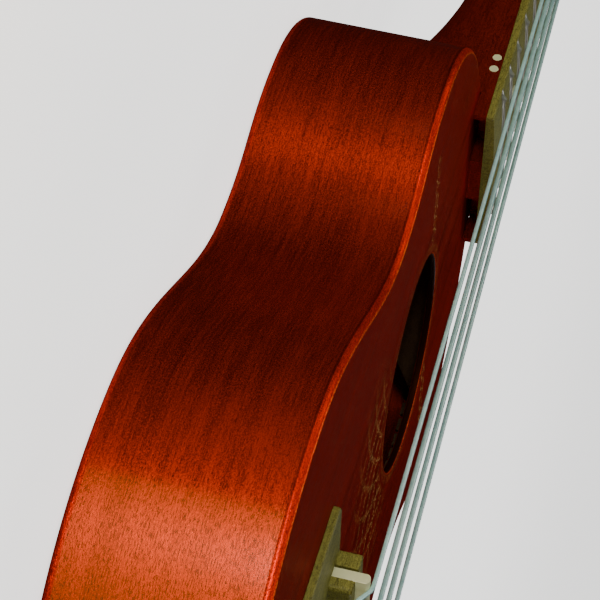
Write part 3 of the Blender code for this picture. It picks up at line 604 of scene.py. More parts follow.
def etching_and_hole_shade(look):
    """Shares of the fine etched dots round the sound hole, and of the painted shade that darkens the wall
    inside it.

    The dots make a thin ring, a fan of crossed scrolls on the tail side, and a braided chain of two
    strands across the top on the neck side.
    """
    apart = look.node("ShaderNodeVectorMath", operation="SUBTRACT")
    look.link(look.coords((1, 1, 1)), apart.inputs[0])
    apart.inputs[1].default_value = PLAN @ Vector((0, HOLE_Y, 0))
    split = look.node("ShaderNodeSeparateXYZ")
    look.link(apart.outputs[0], split.inputs[0])
    across = look.times(split.outputs["X"], 1000)
    along = look.times(split.outputs["Y"], 1000)
    squares = look.math("ADD", look.math("POWER", across, 2), look.math("POWER", along, 2))
    radius = look.math("SQRT", squares)
    turn = look.math("ARCTAN2", along, across)
    grains = look.node("ShaderNodeTexVoronoi", feature="F1")
    look.link(look.coords((1100, 1100, 1100)), grains.inputs["Vector"])
    look.fill(grains, Scale=1.0)
    dots = look.span(grains.outputs["Distance"], 0.46, 0.34)

    below = look.span(look.math("COSINE", look.math("ADD", turn, math.pi / 2)), 0.62, 0.90)
    scrolls = []
    for way in (-0.22, 0.22):
        swirl = look.math("ADD", look.times(turn, 14), look.times(radius, way))
        scrolls.append(look.span(look.math("ABSOLUTE", look.math("SINE", swirl)), 0.42, 0.22))
    fan = look.times(window(look, radius, FAN_REACH), below, look.math("MAXIMUM", *scrolls))

    strands = []
    for swing in (-CHAIN_SWING, CHAIN_SWING):
        wave = look.times(look.math("SINE", look.times(across, 0.55)), swing)
        strands.append(look.math("ABSOLUTE", look.math("SUBTRACT", along, look.math("ADD", wave, CHAIN_Y))))
    chain = look.times(look.span(look.math("MINIMUM", *strands), 0.9, 0.5),
                       window(look, look.math("ABSOLUTE", across), CHAIN_X))

    ring = look.times(window(look, radius, THIN_RING), 0.3)
    etched = look.math("MAXIMUM", ring, look.math("MAXIMUM", fan, chain))
    # Painted shade: the wall inside the sound hole
    wall = look.span(radius, HOLE_RADIUS / MM + 0.5, HOLE_RADIUS / MM + 0.1)
    return look.times(etched, dots, 0.6), wall


def mahogany(name, shade=1.0, lustre=0.75, coat=0.12, roughness=(0.34, 0.46), specular=0.3, **details):
    """Red mahogany, whose polished fibres shine in their own colour."""
    dark = tuple(v * shade for v in MAHOGANY_DARK)
    light = tuple(v * shade for v in MAHOGANY_LIGHT)
    return wood(name, dark, light, MAHOGANY_PORE, pore_depth=0.38, tint=MAHOGANY_SHEEN, lustre=lustre,
                coat=coat, roughness=roughness, specular=specular, **details)


def plain(name, color, other, scale, roughness, bump, metallic=0.0, specular=0.5, coat=0.0,
          stretch=(1, 1, 1)):
    """A two-tone mottled finish with a little relief."""
    look = Look(name)
    place = look.coords(tuple(scale * s for s in stretch))
    mottle = look.noise(place, 1.0, 4.0, 0.6)
    fine = look.noise(place, 7.0, 2.0, 0.5)
    look.color(look.mix(look.span(mottle, 0.3, 0.7), color, other))
    look.rough(look.span(fine, 0.3, 0.7, *roughness))
    look.relief(fine, bump)
    look.set(Metallic=metallic, Specular_IOR_Level=specular, Coat_Weight=coat)
    return look.mat


# Painted shade: the soundboard's mahogany is darkened to 0.62 of the other mahogany, for a top that gets
# little light
top_look = mahogany("top_mahogany", shade=0.62, coat=0.0, roughness=(0.36, 0.48), specular=0.1, etched=True,
                    rimmed=True)
rib_look = mahogany("rib_mahogany", source="UV", grain=along_rib, coat=0.55, gloss=0.17,
                    roughness=(0.28, 0.52))
back_look = mahogany("back_mahogany", shift=(3, 1, 7), rimmed=True)
neck_look = mahogany("neck_mahogany", shift=(5, 2, 1))
block_look = mahogany("block_mahogany", shade=0.5, lustre=0.0, coat=0.0, shift=(2, 8, 1),
                      roughness=(0.7, 0.85))
veneer_look = wood("dark_veneer", (0.035, 0.006, 0.003), (0.11, 0.018, 0.006), (0.015, 0.003, 0.002),
                   roughness=(0.3, 0.42))
olive_look = wood("olive_wood", (0.115, 0.108, 0.018), (0.27, 0.255, 0.050), (0.04, 0.036, 0.010),
                  roughness=(0.45, 0.6), specular=0.2, shift=(1, 4, 2))
spruce_look = wood("raw_spruce", (0.15, 0.08, 0.035), (0.26, 0.15, 0.07), (0.12, 0.06, 0.03),
                   roughness=(0.7, 0.85), pore_depth=0.2)
bone_look = plain("bone", (0.80, 0.84, 0.50), (0.68, 0.70, 0.40), 90, (0.28, 0.42), 0.08, coat=0.2,
                  stretch=(3, 1, 1))
string_look = plain("string_polymer", (0.50, 0.84, 0.82), (0.36, 0.64, 0.64), 300, (0.14, 0.22), 0.04,
                    specular=0.9, coat=0.5)
plastic_look = plain("black_plastic", (0.020, 0.019, 0.018), (0.034, 0.032, 0.030), 500, (0.30, 0.42), 0.1)
housing_look = plain("black_metal", (0.030, 0.030, 0.032), (0.060, 0.060, 0.062), 400, (0.28, 0.42), 0.1,
                     metallic=0.6)
nickel_look = plain("nickel", (0.66, 0.64, 0.60), (0.52, 0.50, 0.47), 120, (0.12, 0.26), 0.03, metallic=1.0)
steel_look = plain("steel", (0.50, 0.50, 0.50), (0.36, 0.36, 0.37), 200, (0.22, 0.38), 0.05, metallic=1.0)
fret_look = plain("fret_wire", (0.50, 0.48, 0.42), (0.40, 0.38, 0.33), 300, (0.34, 0.46), 0.03,
                  metallic=1.0)


# Body

def make_top():
    rings = [rim_ring(0, -RIM_LIP)]
    for a in arc_steps(10):
        rings.append(rim_ring(RIM_ROUND * (1 - math.cos(a)), -RIM_ROUND * (1 - math.sin(a))))
    rings.append(rim_ring(RIM_ROUND + 0.5 * MM, 0))
    edge = HOLE_EDGE
    rings.append(hole_ring(HOLE_RADIUS + edge * 1.5, 0))
    for a in arc_steps(5):
        rings.append(hole_ring(HOLE_RADIUS + edge * (1 - math.sin(a)), -edge * (1 - math.cos(a))))
    for a in arc_steps(5):
        rings.append(hole_ring(HOLE_RADIUS + edge * (1 - math.cos(a)),
                               edge * (1 - math.sin(a)) - TOP_THICKNESS))
    rings.append(rim_ring(SIDE_THICKNESS, -TOP_THICKNESS))
    rings.append(rim_ring(SIDE_THICKNESS, -RIM_LIP))
    shape = skin(rings, around=True)
    holes = merge([moved(rod(ANCHOR_HOLE, -9 * MM, 9 * MM, 20), at(side * spread, ANCHOR_Y))
                   for side in (-1, 1) for spread in SADDLE_SPREAD])
    new_piece("body_top", combined(shape, [("DIFFERENCE", holes)]), top_look, replaces="soundboard")
    inner, outer = ROSETTE
    ring = turned([(inner, -0.8 * MM), (outer, -0.8 * MM), (outer, 0.005 * MM),
                   (outer - 0.02 * MM, 0.01 * MM), (inner + 0.02 * MM, 0.01 * MM), (inner, 0.005 * MM)], 160)
    new_piece("etched_ring", moved(ring, at(0, HOLE_Y)), top_look, replaces="rosette")


def make_back():
    rings = [rim_ring(0, back_inside), rim_ring(0, lambda y: back_outside(y) + BACK_ROUND)]
    for a in arc_steps(8)[1:]:
        rings.append(rim_ring(BACK_ROUND * (1 - math.cos(a)),
                              lambda y, a=a: back_outside(y) + BACK_ROUND * (1 - math.sin(a))))
    rings.append(rim_ring(BACK_ROUND + 0.5 * MM, back_outside))
    new_piece("body_back", skin(rings), back_look, replaces="back_plate")


def make_ribs():
    """The bent sides; their texture runs along each rib."""
    kept = [(p, n) for p, n in HALF if p.y > 60 * MM or p.x > STRIP_HALF + 0.3 * MM]
    for name, side in (("bass", -1), ("treble", 1)):
        shape = bmesh.new()
        sheet = shape.loops.layers.uv.new("UVMap")
        rows = []
        run = 0.0
        last = None
        for p, n in kept:
            run += (p - last).length if last is not None else 0.0
            last = p
            inner = p - n * SIDE_THICKNESS
            corners = (
                (p.x * side, p.y, back_inside(p.y)),
                (p.x * side, p.y, -RIM_LIP),
                (inner.x * side, inner.y, -RIM_LIP),
                (inner.x * side, inner.y, back_inside(inner.y)),
            )
            rows.append((run, [shape.verts.new(corner) for corner in corners]))
        around = (0.0, 0.06, 0.0625, 0.1225, 0.125)
        for (s0, here), (s1, after) in zip(rows, rows[1:]):
            for i in range(4):
                j = (i + 1) % 4
                face = shape.faces.new((here[i], here[j], after[j], after[i]))
                places = ((s0, around[i]), (s0, around[i + 1]), (s1, around[i + 1]), (s1, around[i]))
                for corner, place in zip(face.loops, places):
                    corner[sheet].uv = place
        shape.faces.new(rows[0][1])
        shape.faces.new(rows[-1][1])
        new_piece(f"rib_{name}", shape, rib_look, replaces=f"side_{name}")
    half = STRIP_HALF
    strip = [[(-half, 0.0, z), (half, 0.0, z), (half, SIDE_THICKNESS, z), (-half, SIDE_THICKNESS, z)]
             for z in (back_inside(0), -RIM_LIP)]
    new_piece("tail_strip", skin(strip), veneer_look, replaces="end_graft")


def make_linings():
    """Strips glued along both edges of the sides: rows of small blocks with thin cuts between."""
    near = SIDE_THICKNESS + 0.2 * MM
    far = near + LINING_WIDTH
    line = [(p, n) for p, n in HALF if p.x > 34 * MM]
    for name, side in (("bass", -1), ("treble", 1)):
        for edge in ("top", "back"):
            down = -1 if edge == "top" else 1
            shapes = []
            spot = 0
            while spot + 3 < len(line):
                end = spot
                while end + 1 < len(line) and (line[end][0] - line[spot][0]).length < LINING_BLOCK:
                    end += 1
                rings = []
                for p, n in (line[spot], line[end]):
                    section = ((near, 0), (far, 0), (far, LINING_TOE), (near + 1.2 * MM, LINING_HEIGHT),
                               (near, LINING_HEIGHT))
                    ring = []
                    for deep, drop in section:
                        x, y = p.x - n.x * deep, p.y - n.y * deep
                        base = -TOP_THICKNESS - SEAM if edge == "top" else back_inside(y) + SEAM
                        ring.append((x * side, y, base + down * drop))
                    rings.append(ring)
                shapes.append(skin(rings))
                spot = end
                while spot + 1 < len(line) and (line[spot][0] - line[end][0]).length < LINING_CUT:
                    spot += 1
            new_piece(f"kerfing_{edge}_{name}", merge(shapes), spruce_look,
                      replaces=f"lining_{edge}_{name}")


# Neck

def neck_depth(y):
    share = min(1.0, max(0.0, (y - BODY_LENGTH) / HEEL_LENGTH))
    thick, thin = NECK_THICKNESS
    slim = thick + (thin - thick) * (y - BODY_LENGTH) / (NUT_Y - BODY_LENGTH)
    return slim + (HEEL_DEPTH - slim) * (1 - share) ** HEEL_CURVE


def neck_ring(y, ceiling=None):
    """One D-shaped section of the neck, with lightly eased upper edges."""
    half = board_half(y) - 0.2 * MM
    top = neck_top(y)
    depth = neck_depth(y)
    cheek = NECK_CHEEK
    steps = 26
    fullness = 1 + HEEL_TAPER * (depth - NECK_THICKNESS[1]) / HEEL_DEPTH
    points = [(half, top), (half, top - 2.5 * MM), (half, top - cheek)]
    for k in range(1, steps):
        a = math.pi / 2 * k / steps
        points.append((half * math.cos(a) ** fullness, top - cheek - (depth - cheek) * math.sin(a)))
    points.append((0, top - depth))
    points += [(-x, z) for x, z in points[-2::-1]]
    if ceiling is not None:
        points = [(x, min(z, ceiling)) for x, z in points]
    return [(x, y, z) for x, z in points]


def head_outline():
    """The headstock's plan in its own frame."""
    narrow, wide = HEAD_WIDTHS
    half = [(narrow, 0)]
    for k in range(1, 25):
        t = k / 24
        half.append((narrow + (wide - narrow) * (3 * t * t - 2 * t ** 3), 4 * MM + 24 * MM * t))
    half += eased([(35 * MM, 28 * MM), (36.3 * MM, 120 * MM), (35 * MM, 134 * MM), (26 * MM, 144 * MM),
                   (13 * MM, 145 * MM), (0, HEAD_LENGTH)], 9 * MM, 8)[1:]
    return half + [(-x, y) for x, y in half[-2::-1]]


def head_face(y):
    """The headstock's front, under its veneer, in the plan's heights."""
    veneer = (HEAD_PLATE + SEAM) / math.cos(HEAD_TILT)
    return HEAD_START.z - (y - HEAD_START.y) * math.tan(HEAD_TILT) - veneer


def make_neck():
    stations = [BOARD_END_Y + 2 * MM * k for k in range(9)]
    stations += [BODY_LENGTH + HEEL_LENGTH * k / 40 for k in range(41)]
    y = BODY_LENGTH + HEEL_LENGTH + 6 * MM
    while y < NUT_Y:
        stations.append(y)
        y += 8 * MM
    stations.append(NUT_Y + NUT_THICKNESS)
    rings = [neck_ring(y) for y in stations]
    for y in (NUT_Y + NUT_THICKNESS + 0.1 * MM, NUT_Y + NUT_THICKNESS + 8 * MM):
        rings.append(neck_ring(y, head_face(y) - 0.2 * MM))
    into_head = PLAN.inverted() @ HEAD
    head = slab(head_outline(), BACK_FACE, -HEAD_PLATE - SEAM, 1.6 * MM, 0.0, 6)
    body = prism(rim_loop(-SEAM), -90 * MM, SEAM)
    steps = [("UNION", moved(head, into_head)), ("DIFFERENCE", body)]
    for side in (-1, 1):
        low, high = sorted((side * 10 * MM, side * 31.3 * MM))
        loop = rectangle(low, high, 320 * MM, 349 * MM, 1.5 * MM)
        steps.append(("DIFFERENCE", prism(loop, -MM, 10 * MM)))
    steps.append(("DIFFERENCE", merge([side_dot(y, 0.05 * MM) for y in SIDE_DOTS])))
    holes = [moved(rod(POST_HOLE, -40 * MM, 9 * MM), at(x, y)) for x, y in POSTS.values()]
    steps.append(("DIFFERENCE", moved(merge(holes), into_head)))
    new_piece("neck_shape", combined(skin(rings), steps), neck_look, replaces="neck",
              angle=38)
    outline = [(x, max(y, 1.5 * MM)) for x, y in head_outline()]
    plate = slab(outline, -HEAD_PLATE, 0, 0.0, 0.5 * MM, 3)
    holes = [moved(rod(POST_HOLE, -9 * MM, 9 * MM), at(x, y)) for x, y in POSTS.values()]
    new_piece("head_veneer", combined(plate, [("DIFFERENCE", merge(holes))]), veneer_look, place=HEAD,
              replaces="headstock_plate")


def side_dot(y, clearance=0.0):
    """A dot in the neck's bass cheek, or the cutter for its hole where there is a clearance."""
    half = board_half(y) - 0.2 * MM
    end = 5 * MM if clearance else 0.06 * MM
    turn = Matrix.Rotation(math.radians(-90), 4, "Y")
    place = at(0, y, neck_top(y) - 2.5 * MM) @ turn
    radius = 1.7 * MM + clearance
    profile = [(0, half - 2 * MM), (radius, half - 2 * MM), (radius, half + end - 0.1 * MM),
               (radius - 0.1 * MM, half + end), (0, half + end)]
    return moved(turned(profile, 32), place)


def board_section(y):
    """One section of the fingerboard, with a crowned face and rounded upper edges."""
    half = board_half(y)
    low = neck_top(y) + SEAM
    flat = half - BOARD_EDGE
    points = [(half - 0.15 * MM, low), (half, low + 0.15 * MM)]
    points += [(half - BOARD_EDGE * (1 - math.cos(a)), board_top(half, y) - BOARD_EDGE * (1 - math.sin(a)))
               for a in arc_steps(5)]
    points += [(x * flat / 8, board_top(x * flat / 8, y)) for x in range(7, -8, -1)]
    points += [(-x, z) for x, z in points[6::-1]]
    return [(x, y, z) for x, z in points]


def fret_wire(y):
    """A domed wire across the board."""
    half = board_half(y) - 0.1 * MM
    arc = arc_steps(10, math.pi)
    rows = []
    for k in range(21):
        x = half * (1 - k / 10)
        rise = 0.15 * MM if k in (0, 20) else MM
        foot = board_top(x, y) - 0.1 * MM
        rows.append([(x, y + FRET_HALF * math.cos(a), foot + rise * max(0.0, math.sin(a))) for a in arc])
    for row, spot, step in ((0, 1, -0.8 * MM), (20, 20, 0.8 * MM)):
        rows.insert(spot, [(x + step, py, z + 0.8 * MM * max(0.0, math.sin(a)))
                           for a, (x, py, z) in zip(arc, rows[row])])
    return skin(rows)


def fret_y(n):
    return NUT_Y - SCALE * (1 - 2 ** (-n / 12))


def make_board():
    """The fingerboard with its frets and position dots."""
    start, end = BOARD_END_Y + 0.4 * MM, NUT_Y - SEAM
    inner = board_section(start)
    middle = sum((Vector(p) for p in inner), Vector()) / len(inner)
    rings = [[tuple(Vector(p).lerp(middle, 0.012) + Vector((0, -0.4 * MM, 0))) for p in inner]]
    count = 60
    rings += [board_section(start + (end - BOARD_END_Y - 0.4 * MM) * k / count) for k in range(count + 1)]
    new_piece("board", skin(rings), olive_look, replaces="fingerboard")
    new_piece("frets", merge([fret_wire(fret_y(n)) for n in range(1, FRETS + 1)]), fret_look)

    discs = []
    for n, spots in ((5, (0,)), (7, (0,)), (10, (0,)), (12, (-DOT_SPREAD, DOT_SPREAD))):
        y = NUT_Y - SCALE * (1 - (2 ** (-n / 12) + 2 ** (-(n - 1) / 12)) / 2)
        for x in spots:
            disc = turned([(0, -0.6 * MM), (3.0 * MM, -0.6 * MM), (3.0 * MM, 0.02 * MM),
                           (2.8 * MM, 0.06 * MM), (0, 0.07 * MM)], 40)
            discs.append(moved(disc, at(x, y, board_top(x, y))))
    new_piece("board_dots", merge(discs), bone_look)
    for name, y in zip(("near", "far"), SIDE_DOTS):
        new_piece(f"cheek_dot_{name}", side_dot(y), bone_look, replaces=f"side_dot_{name}")


def make_nut():
    half = board_half(NUT_Y)
    top = NUT_STRING_Z + 0.5 * MM
    loop = rectangle(-half, half, NUT_Y, NUT_Y + NUT_THICKNESS - BOARD_GAP, 1.6 * MM, 6)
    base = slab(loop, neck_top(NUT_Y) + SEAM, lambda x, y: top - 0.06 * (y - NUT_Y), 0.0, 0.7 * MM, 5)
    slots = []
    turn = Matrix.Rotation(math.radians(-100), 4, "X")
    for name, radius in STRING_RADII.items():
        place = at(string_x(name, NUT_SPREAD), NUT_Y + 0.3 * MM, NUT_STRING_Z + 0.1 * MM)
        slots.append(moved(rod(radius * 1.06, -2 * MM, 9 * MM, 24), place @ turn))
    new_piece("string_nut", combined(base, [("DIFFERENCE", merge(slots))]), bone_look, replaces="nut")


# Bridge and strings

def make_bridge():
    wings = rectangle(-BRIDGE_HALF, BRIDGE_HALF, *BRIDGE_Y, 4 * MM, 8)
    wings = slab(wings, SEAM, WING_HEIGHT, 0.0, 1.1 * MM, 6)
    block = rectangle(-BLOCK_HALF, BLOCK_HALF, *BLOCK_Y, 2.0 * MM, 6)
    block = slab(block, MM, BLOCK_HEIGHT, 0.0, 0.9 * MM, 5)
    wall = SADDLE_THICKNESS / 2 + SEAM
    reach = BLOCK_HALF + 0.1 * MM
    slot = prism(rectangle(-reach, reach, SADDLE_Y - wall, SADDLE_Y + wall + 0.5 * MM),
                 WING_HEIGHT - SADDLE_SEAT, 20 * MM)
    drills = []
    for name, radius in STRING_RADII.items():
        inner = radius * 1.15
        outer = radius * 1.15 + 1.0 * MM
        drill = turned([(0, -5 * MM), (inner, -5 * MM), (inner, WING_HEIGHT - 0.9 * MM),
                        (outer, WING_HEIGHT + 0.1 * MM), (outer, 9 * MM), (0, 9 * MM)], 32)
        drills.append(moved(drill, at(string_x(name, SADDLE_SPREAD), ANCHOR_Y)))
    shape = combined(wings, [("UNION", block), ("DIFFERENCE", slot), ("DIFFERENCE", merge(drills))])
    new_piece("bridge_wood", shape, olive_look, replaces="bridge", angle=40)


def make_saddle():
    """The saddle, domed from front to back, with softened ends."""
    half = SADDLE_THICKNESS / 2
    crown = SADDLE_STRING_Z - max(STRING_RADII.values()) - 0.15 * MM
    base = WING_HEIGHT - SADDLE_SEAT
    middle = (SADDLE_Y, (base + crown) / 2)
    profile = [(SADDLE_Y - half, base), (SADDLE_Y + half, base)]
    profile += [(SADDLE_Y + half * math.cos(a), crown - SADDLE_ROUND + SADDLE_ROUND * math.sin(a))
                for a in arc_steps(14, math.pi)]

    def pulled(value, centre, distance):
        away = value - centre
        return value - math.copysign(min(abs(away), distance), away)

    end = SADDLE_HALF
    rings = []
    for x, shrink in ((-end, 0.35), (-end + 0.15 * MM, 0.12), (-end + 0.45 * MM, 0), (0, 0),
                      (end - 0.45 * MM, 0), (end - 0.15 * MM, 0.12), (end, 0.35)):
        rings.append([(x, pulled(y, middle[0], shrink * MM), pulled(z, middle[1], shrink * MM))
                      for y, z in profile])
    new_piece("saddle_bone", skin(rings), bone_look, replaces="saddle")


def string_route(name):
    """A string's centre line from its bead under the patch to the end of its turns on the post."""
    radius = STRING_RADII[name]
    side = -1 if name in "ea" else 1
    saddle = Vector((string_x(name, SADDLE_SPREAD), SADDLE_Y, SADDLE_STRING_Z - 0.1 * MM))
    nut = Vector((string_x(name, NUT_SPREAD), NUT_Y, NUT_STRING_Z))
    x = saddle.x
    bend = eased([(ANCHOR_Y, -12 * MM), (ANCHOR_Y, 4.0 * MM),
                  (SADDLE_Y - 1.0 * MM, SADDLE_STRING_Z - 0.15 * MM)], 4 * MM, 10)
    route = [Vector((x, y, z)) for y, z in bend[:-1]]
    arrive = Vector((x, *bend[-1]))
    climb = arrive - route[-1]
    start = arrive - climb.normalized() * 0.8 * MM
    end = saddle + (nut - saddle).normalized() * 1.4 * MM
    hump = saddle + Vector((0, -0.1 * MM, -0.06 * MM))
    for k in range(7):
        t = k / 6
        route.append(start * (1 - t) ** 2 + hump * 2 * t * (1 - t) + end * t * t)
    route += [saddle.lerp(nut, t) for t in (0.05, 0.25, 0.5, 0.75, 0.99)]
    post_x, post_y = POSTS[name]
    wrap = POST_RADIUS + 0.1 * MM + radius
    pitch = 2 * radius + 0.1 * MM
    into_plan = PLAN.inverted() @ HEAD
    tangent = Vector((post_x - side * wrap, post_y, COIL_TOP))
    leave = into_plan.inverted() @ (nut + Vector((0, 2.5 * MM, -0.35 * MM)))
    route.append(nut + Vector((0, 0.8 * MM, 0)))
    route.append(into_plan @ leave)
    route += [into_plan @ leave.lerp(tangent, t) for t in (0.3, 0.6, 0.9)]
    steps = 40
    for k in range(int(COIL_TURNS * steps) + 1):
        angle = 2 * math.pi * k / steps
        spot = Vector((post_x - side * wrap * math.cos(angle), post_y + wrap * math.sin(angle),
                       COIL_TOP - pitch * k / steps))
        route.append(into_plan @ spot)
    return route


def make_strings():
    for name, radius in STRING_RADII.items():
        line = bpy.data.curves.new(f"strand_{name}", "CURVE")
        line.dimensions = "3D"
        spline = line.splines.new("POLY")
        route = [PLAN @ point for point in string_route(name)]
        spline.points.add(len(route) - 1)
        for point, place in zip(spline.points, route):
            point.co = (*place, 1)
        spline.use_smooth = True
        line.bevel_depth = radius
        line.bevel_resolution = 6
        line.use_fill_caps = True
        line.materials.append(string_look)
        made = linked(f"strand_{name}", line)
        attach(made, "instrument")
        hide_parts(f"string_{name}")


# Tuning machines

def worm_frame(x, y):
    """The frame of a worm shaft, whose z axis leads out to its button."""
    turn = Matrix.Rotation(math.radians(90 * math.copysign(1, x)), 4, "Y")
    return at(x, y + WORM_OFFSET, WORM_Z) @ turn


def tuner_post():
    """A slotted post with a flared top, and the worm wheel on its foot."""
    foot = WORM_Z - GEAR_HALF - 1.2 * MM
    r = POST_RADIUS
    profile = eased([(r - 1.2 * MM, foot), (r, foot + MM), (r, 11.5 * MM), (r + 0.6 * MM, 12.5 * MM),
                     (r + 0.6 * MM, POST_TOP - 0.4 * MM), (r - 0.2 * MM, POST_TOP)], 0.5 * MM, 4)
    slot = prism(rectangle(-1.1 * MM, 1.1 * MM, -9 * MM, 9 * MM), 12 * MM, 20 * MM)
    post = combined(turned([(0, foot)] + profile + [(0, POST_TOP)]), [("DIFFERENCE", slot)])
    teeth = []
    for k in range(GEAR_TEETH):
        for share, reach in ((0.0, 0.86), (0.28, 0.86), (0.42, 1.0), (0.72, 1.0)):
            a = 2 * math.pi * (k + share) / GEAR_TEETH
            teeth.append((GEAR_TIP * reach * math.cos(a), GEAR_TIP * reach * math.sin(a)))
    return merge([post, slab(teeth, WORM_Z - GEAR_HALF, WORM_Z + GEAR_HALF, 0.2 * MM, 0.2 * MM, 2)])


def ferrule():
    inner, outer, rim = POST_RADIUS + 0.2 * MM, 4.5 * MM, 6.5 * MM
    return turned(eased([(inner, -11 * MM), (outer, -11 * MM), (outer, SEAM), (rim, SEAM), (rim, 1.9 * MM),
                         (5.4 * MM, 2.6 * MM), (inner, 2.6 * MM)], 0.35 * MM, 3, closed=True))


def tuner_knob(start):
    """A round button with a bored foot, flattened into an oval away from its neck."""
    bore = WORM_SHAFT + 0.2 * MM
    profile = [(0, 7.3 * MM), (bore, 7.3 * MM), (bore, 0)]
    profile += eased([(bore, 0), (3.0 * MM, 0), (3.4 * MM, 2 * MM), (7.0 * MM, 4.2 * MM),
                      (8.3 * MM, 6.4 * MM), (8.0 * MM, 9.2 * MM), (5.0 * MM, 11.4 * MM), (0, 12 * MM)],
                     2.2 * MM, 6)[1:]
    shape = moved(turned(profile, 64), at(0, 0, start))
    for vertex in shape.verts:
        reach = math.hypot(vertex.co.x, vertex.co.y)
        if reach > BUTTON_ROUND:
            vertex.co.x *= 1 - 0.45 * (reach - BUTTON_ROUND) / (5.1 * MM)
    return shape


def housing_screw():
    """A domed screw with a cross in its head, pointing down."""
    shank, rim = 1.2 * MM, 2.5 * MM
    head = [(0, 0.9 * MM), (shank, 0.75 * MM), (2.2 * MM, 0.3 * MM), (rim, 0), (rim, -0.3 * MM),
            (shank, -0.3 * MM), (shank, -6 * MM), (0, -9 * MM)]
    cross = merge([prism(rectangle(-a, a, -b, b), 0.35 * MM, 2 * MM)
                   for a, b in ((1.5 * MM, 0.25 * MM), (0.25 * MM, 1.5 * MM))])
    return combined(turned(head, 32), [("DIFFERENCE", cross)])


def make_tuners():
    screws = []
    flip = Matrix.Rotation(math.pi, 4, "X")
    for name, (x, y) in POSTS.items():
        spot = HEAD @ at(x, y)
        new_piece(f"post_{name}", tuner_post(), nickel_look, body=f"post_{name}", place=spot,
                  replaces=f"tuner_post_{name}", angle=30)
        new_piece(f"ferrule_{name}", ferrule(), nickel_look, place=spot, replaces=f"post_bushing_{name}",
                  angle=30)
        new_piece(f"knob_{name}", tuner_knob(BUTTON_START - abs(x)), plastic_look, body=f"worm_{name}",
                  place=HEAD @ worm_frame(x, y), replaces=f"tuner_button_{name}",
                  angle=40)
        for step in SCREW_Y:
            place = at(x, y + step, BACK_FACE - BOARD_GAP - 3.0 * MM)
            screws.append(moved(housing_screw(), place @ flip))
    new_piece("housing_screws", merge(screws), steel_look, place=HEAD, angle=30)


def finish_cad(node, look, width=0.0, segments=2):
    """Gives a carried-over CAD solid its finish, and softens its edges."""
    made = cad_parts[node]
    made.data.materials.clear()
    made.data.materials.append(look)
    if width:
        bevel = made.modifiers.new("edges", "BEVEL")
        bevel.width = width
        bevel.segments = segments
        bevel.limit_method = "ANGLE"
        bevel.angle_limit = math.radians(40)


make_top()
make_back()
make_ribs()
make_linings()
make_neck()
make_board()
make_nut()
make_bridge()
make_saddle()
make_strings()
make_tuners()

for which in ("top_brace_upper", "top_brace_lower", "fan_brace_bass", "fan_brace_centre",
              "fan_brace_treble", "back_brace_upper", "back_brace_waist", "back_brace_lower"):
    finish_cad(which, spruce_look, 0.8 * MM)
for which in ("neck_block", "tail_block", "bridge_patch"):
    finish_cad(which, block_look, 0.5 * MM)
for which in ("neck_bolt_upper", "neck_bolt_lower"):
    finish_cad(which, steel_look, 0.2 * MM)
for string in POSTS:
    finish_cad(f"tuner_housing_{string}", housing_look, 0.5 * MM, 3)
    finish_cad(f"tuner_worm_{string}", steel_look)
    finish_cad(f"string_bead_{string}", plastic_look, 0.3 * MM)


# Floor, light and camera

FLOOR_DROP = 0.5 * MM
FLOOR_REACH = 6.0
MIDDLE = (0, 0.1, 0.03)
SKY_LEVELS = (0.01, 1.0)
CAMERA_PLACE = (-0.79126, -0.5826, 0.19138)
CAMERA_TURN = (-52.674, -74.211, 94.59)
CAMERA_LENS = 179.4
SENSOR_WIDTH = 36.0


def make_stage():
    """A pale floor just under the back, left out of the object's own lighting."""
    look = Look("pale_floor")
    speck = look.noise(look.coords((6, 6, 6)), 1.0, 3.0)
    look.color(look.mix(look.span(speck, 0.3, 0.7), (0.80, 0.79, 0.78), (0.84, 0.83, 0.82)))
    look.set(Roughness=0.9, Specular_IOR_Level=0.1, Emission_Color=(1, 0.99, 0.98, 1), Emission_Strength=1.6)
    shape = bmesh.new()
    bmesh.ops.create_grid(shape, x_segments=8, y_segments=8, size=FLOOR_REACH)
    mesh = mesh_of("floor", shape)
    mesh.materials.append(look.mat)
    floor = linked("floor", mesh)
    floor.location.z = -FLOOR_DROP
    floor.visible_glossy = False
    floor.visible_diffuse = False
    floor.visible_shadow = False


def area_light(name, place, aim, size, power, color=(1, 1, 1)):
    data = bpy.data.lights.new(name, "AREA")
    data.shape = "RECTANGLE"
    data.size, data.size_y = size
    data.energy = power
    data.color = color
    made = linked(name, data)
    made.visible_camera = False
    made.location = place
    made.rotation_euler = (Vector(aim) - Vector(place)).to_track_quat("-Z", "Y").to_euler()


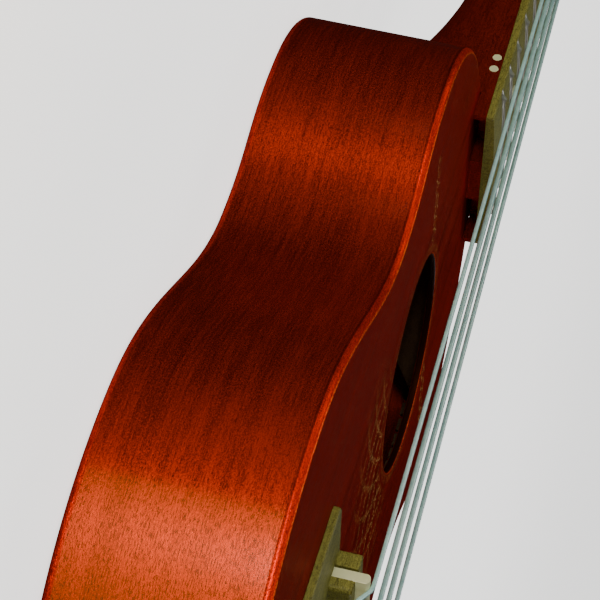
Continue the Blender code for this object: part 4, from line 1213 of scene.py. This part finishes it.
def make_light():
    """A world that is pale only to the camera, and soft lamps round the instrument."""
    world = bpy.data.worlds.new("studio")
    world.use_nodes = True
    tree = world.node_tree
    back = tree.nodes["Background"]
    back.inputs["Color"].default_value = (1, 1, 1, 1)
    rays = tree.nodes.new("ShaderNodeLightPath")
    level = tree.nodes.new("ShaderNodeMapRange")
    tree.links.new(rays.outputs["Is Camera Ray"], level.inputs["Value"])
    level.inputs["To Min"].default_value, level.inputs["To Max"].default_value = SKY_LEVELS
    tree.links.new(level.outputs["Result"], back.inputs["Strength"])
    bpy.context.scene.world = world
    area_light("key", (-1.5, -0.45, 0.15), (-0.1, 0.0, 0.03), (0.4, 0.4), 12.4, (1, 0.95, 0.86))
    area_light("high", (-0.62, 1.0, 0.92), (-0.05, 0.1, 0.03), (0.5, 0.5), 2.4, (1, 0.90, 0.72))
    area_light("side", (-1.6, 0.55, 0.15), (-0.1, 0.1, 0.03), (0.4, 0.4), 1.5)
    area_light("near", (-0.394, -0.206, -0.005), (-0.12, -0.06, 0.03), (0.34, 0.14), 0.46, (1, 0.62, 0.10))
    area_light("over", (-0.3, 0.1, 1.6), MIDDLE, (0.6, 0.6), 3.2)
    area_light("high_side", (-1.3, 0.3, 1.0), MIDDLE, (0.5, 0.5), 0.6)
    area_light("far_side", (1.45, -0.15, 0.75), (0, 0.05, 0.03), (0.6, 0.6), 7)
    area_light("tail", (0.0, -1.5, 1.0), MIDDLE, (0.6, 0.6), 1.5)
    area_light("floor_bounce", (-0.35, 0.6, -0.9), MIDDLE, (0.6, 0.6), 0.9)
    area_light("head_side", (0.7, 1.0, 1.3), MIDDLE, (0.4, 0.4), 3)


def make_camera():
    data = bpy.data.cameras.new("camera")
    data.lens = CAMERA_LENS
    data.sensor_width = SENSOR_WIDTH
    data.clip_start = 0.01
    data.clip_end = 50
    camera = linked("camera", data)
    camera.location = CAMERA_PLACE
    camera.rotation_euler = tuple(math.radians(a) for a in CAMERA_TURN)
    bpy.context.scene.camera = camera


make_stage()
make_light()
make_camera()
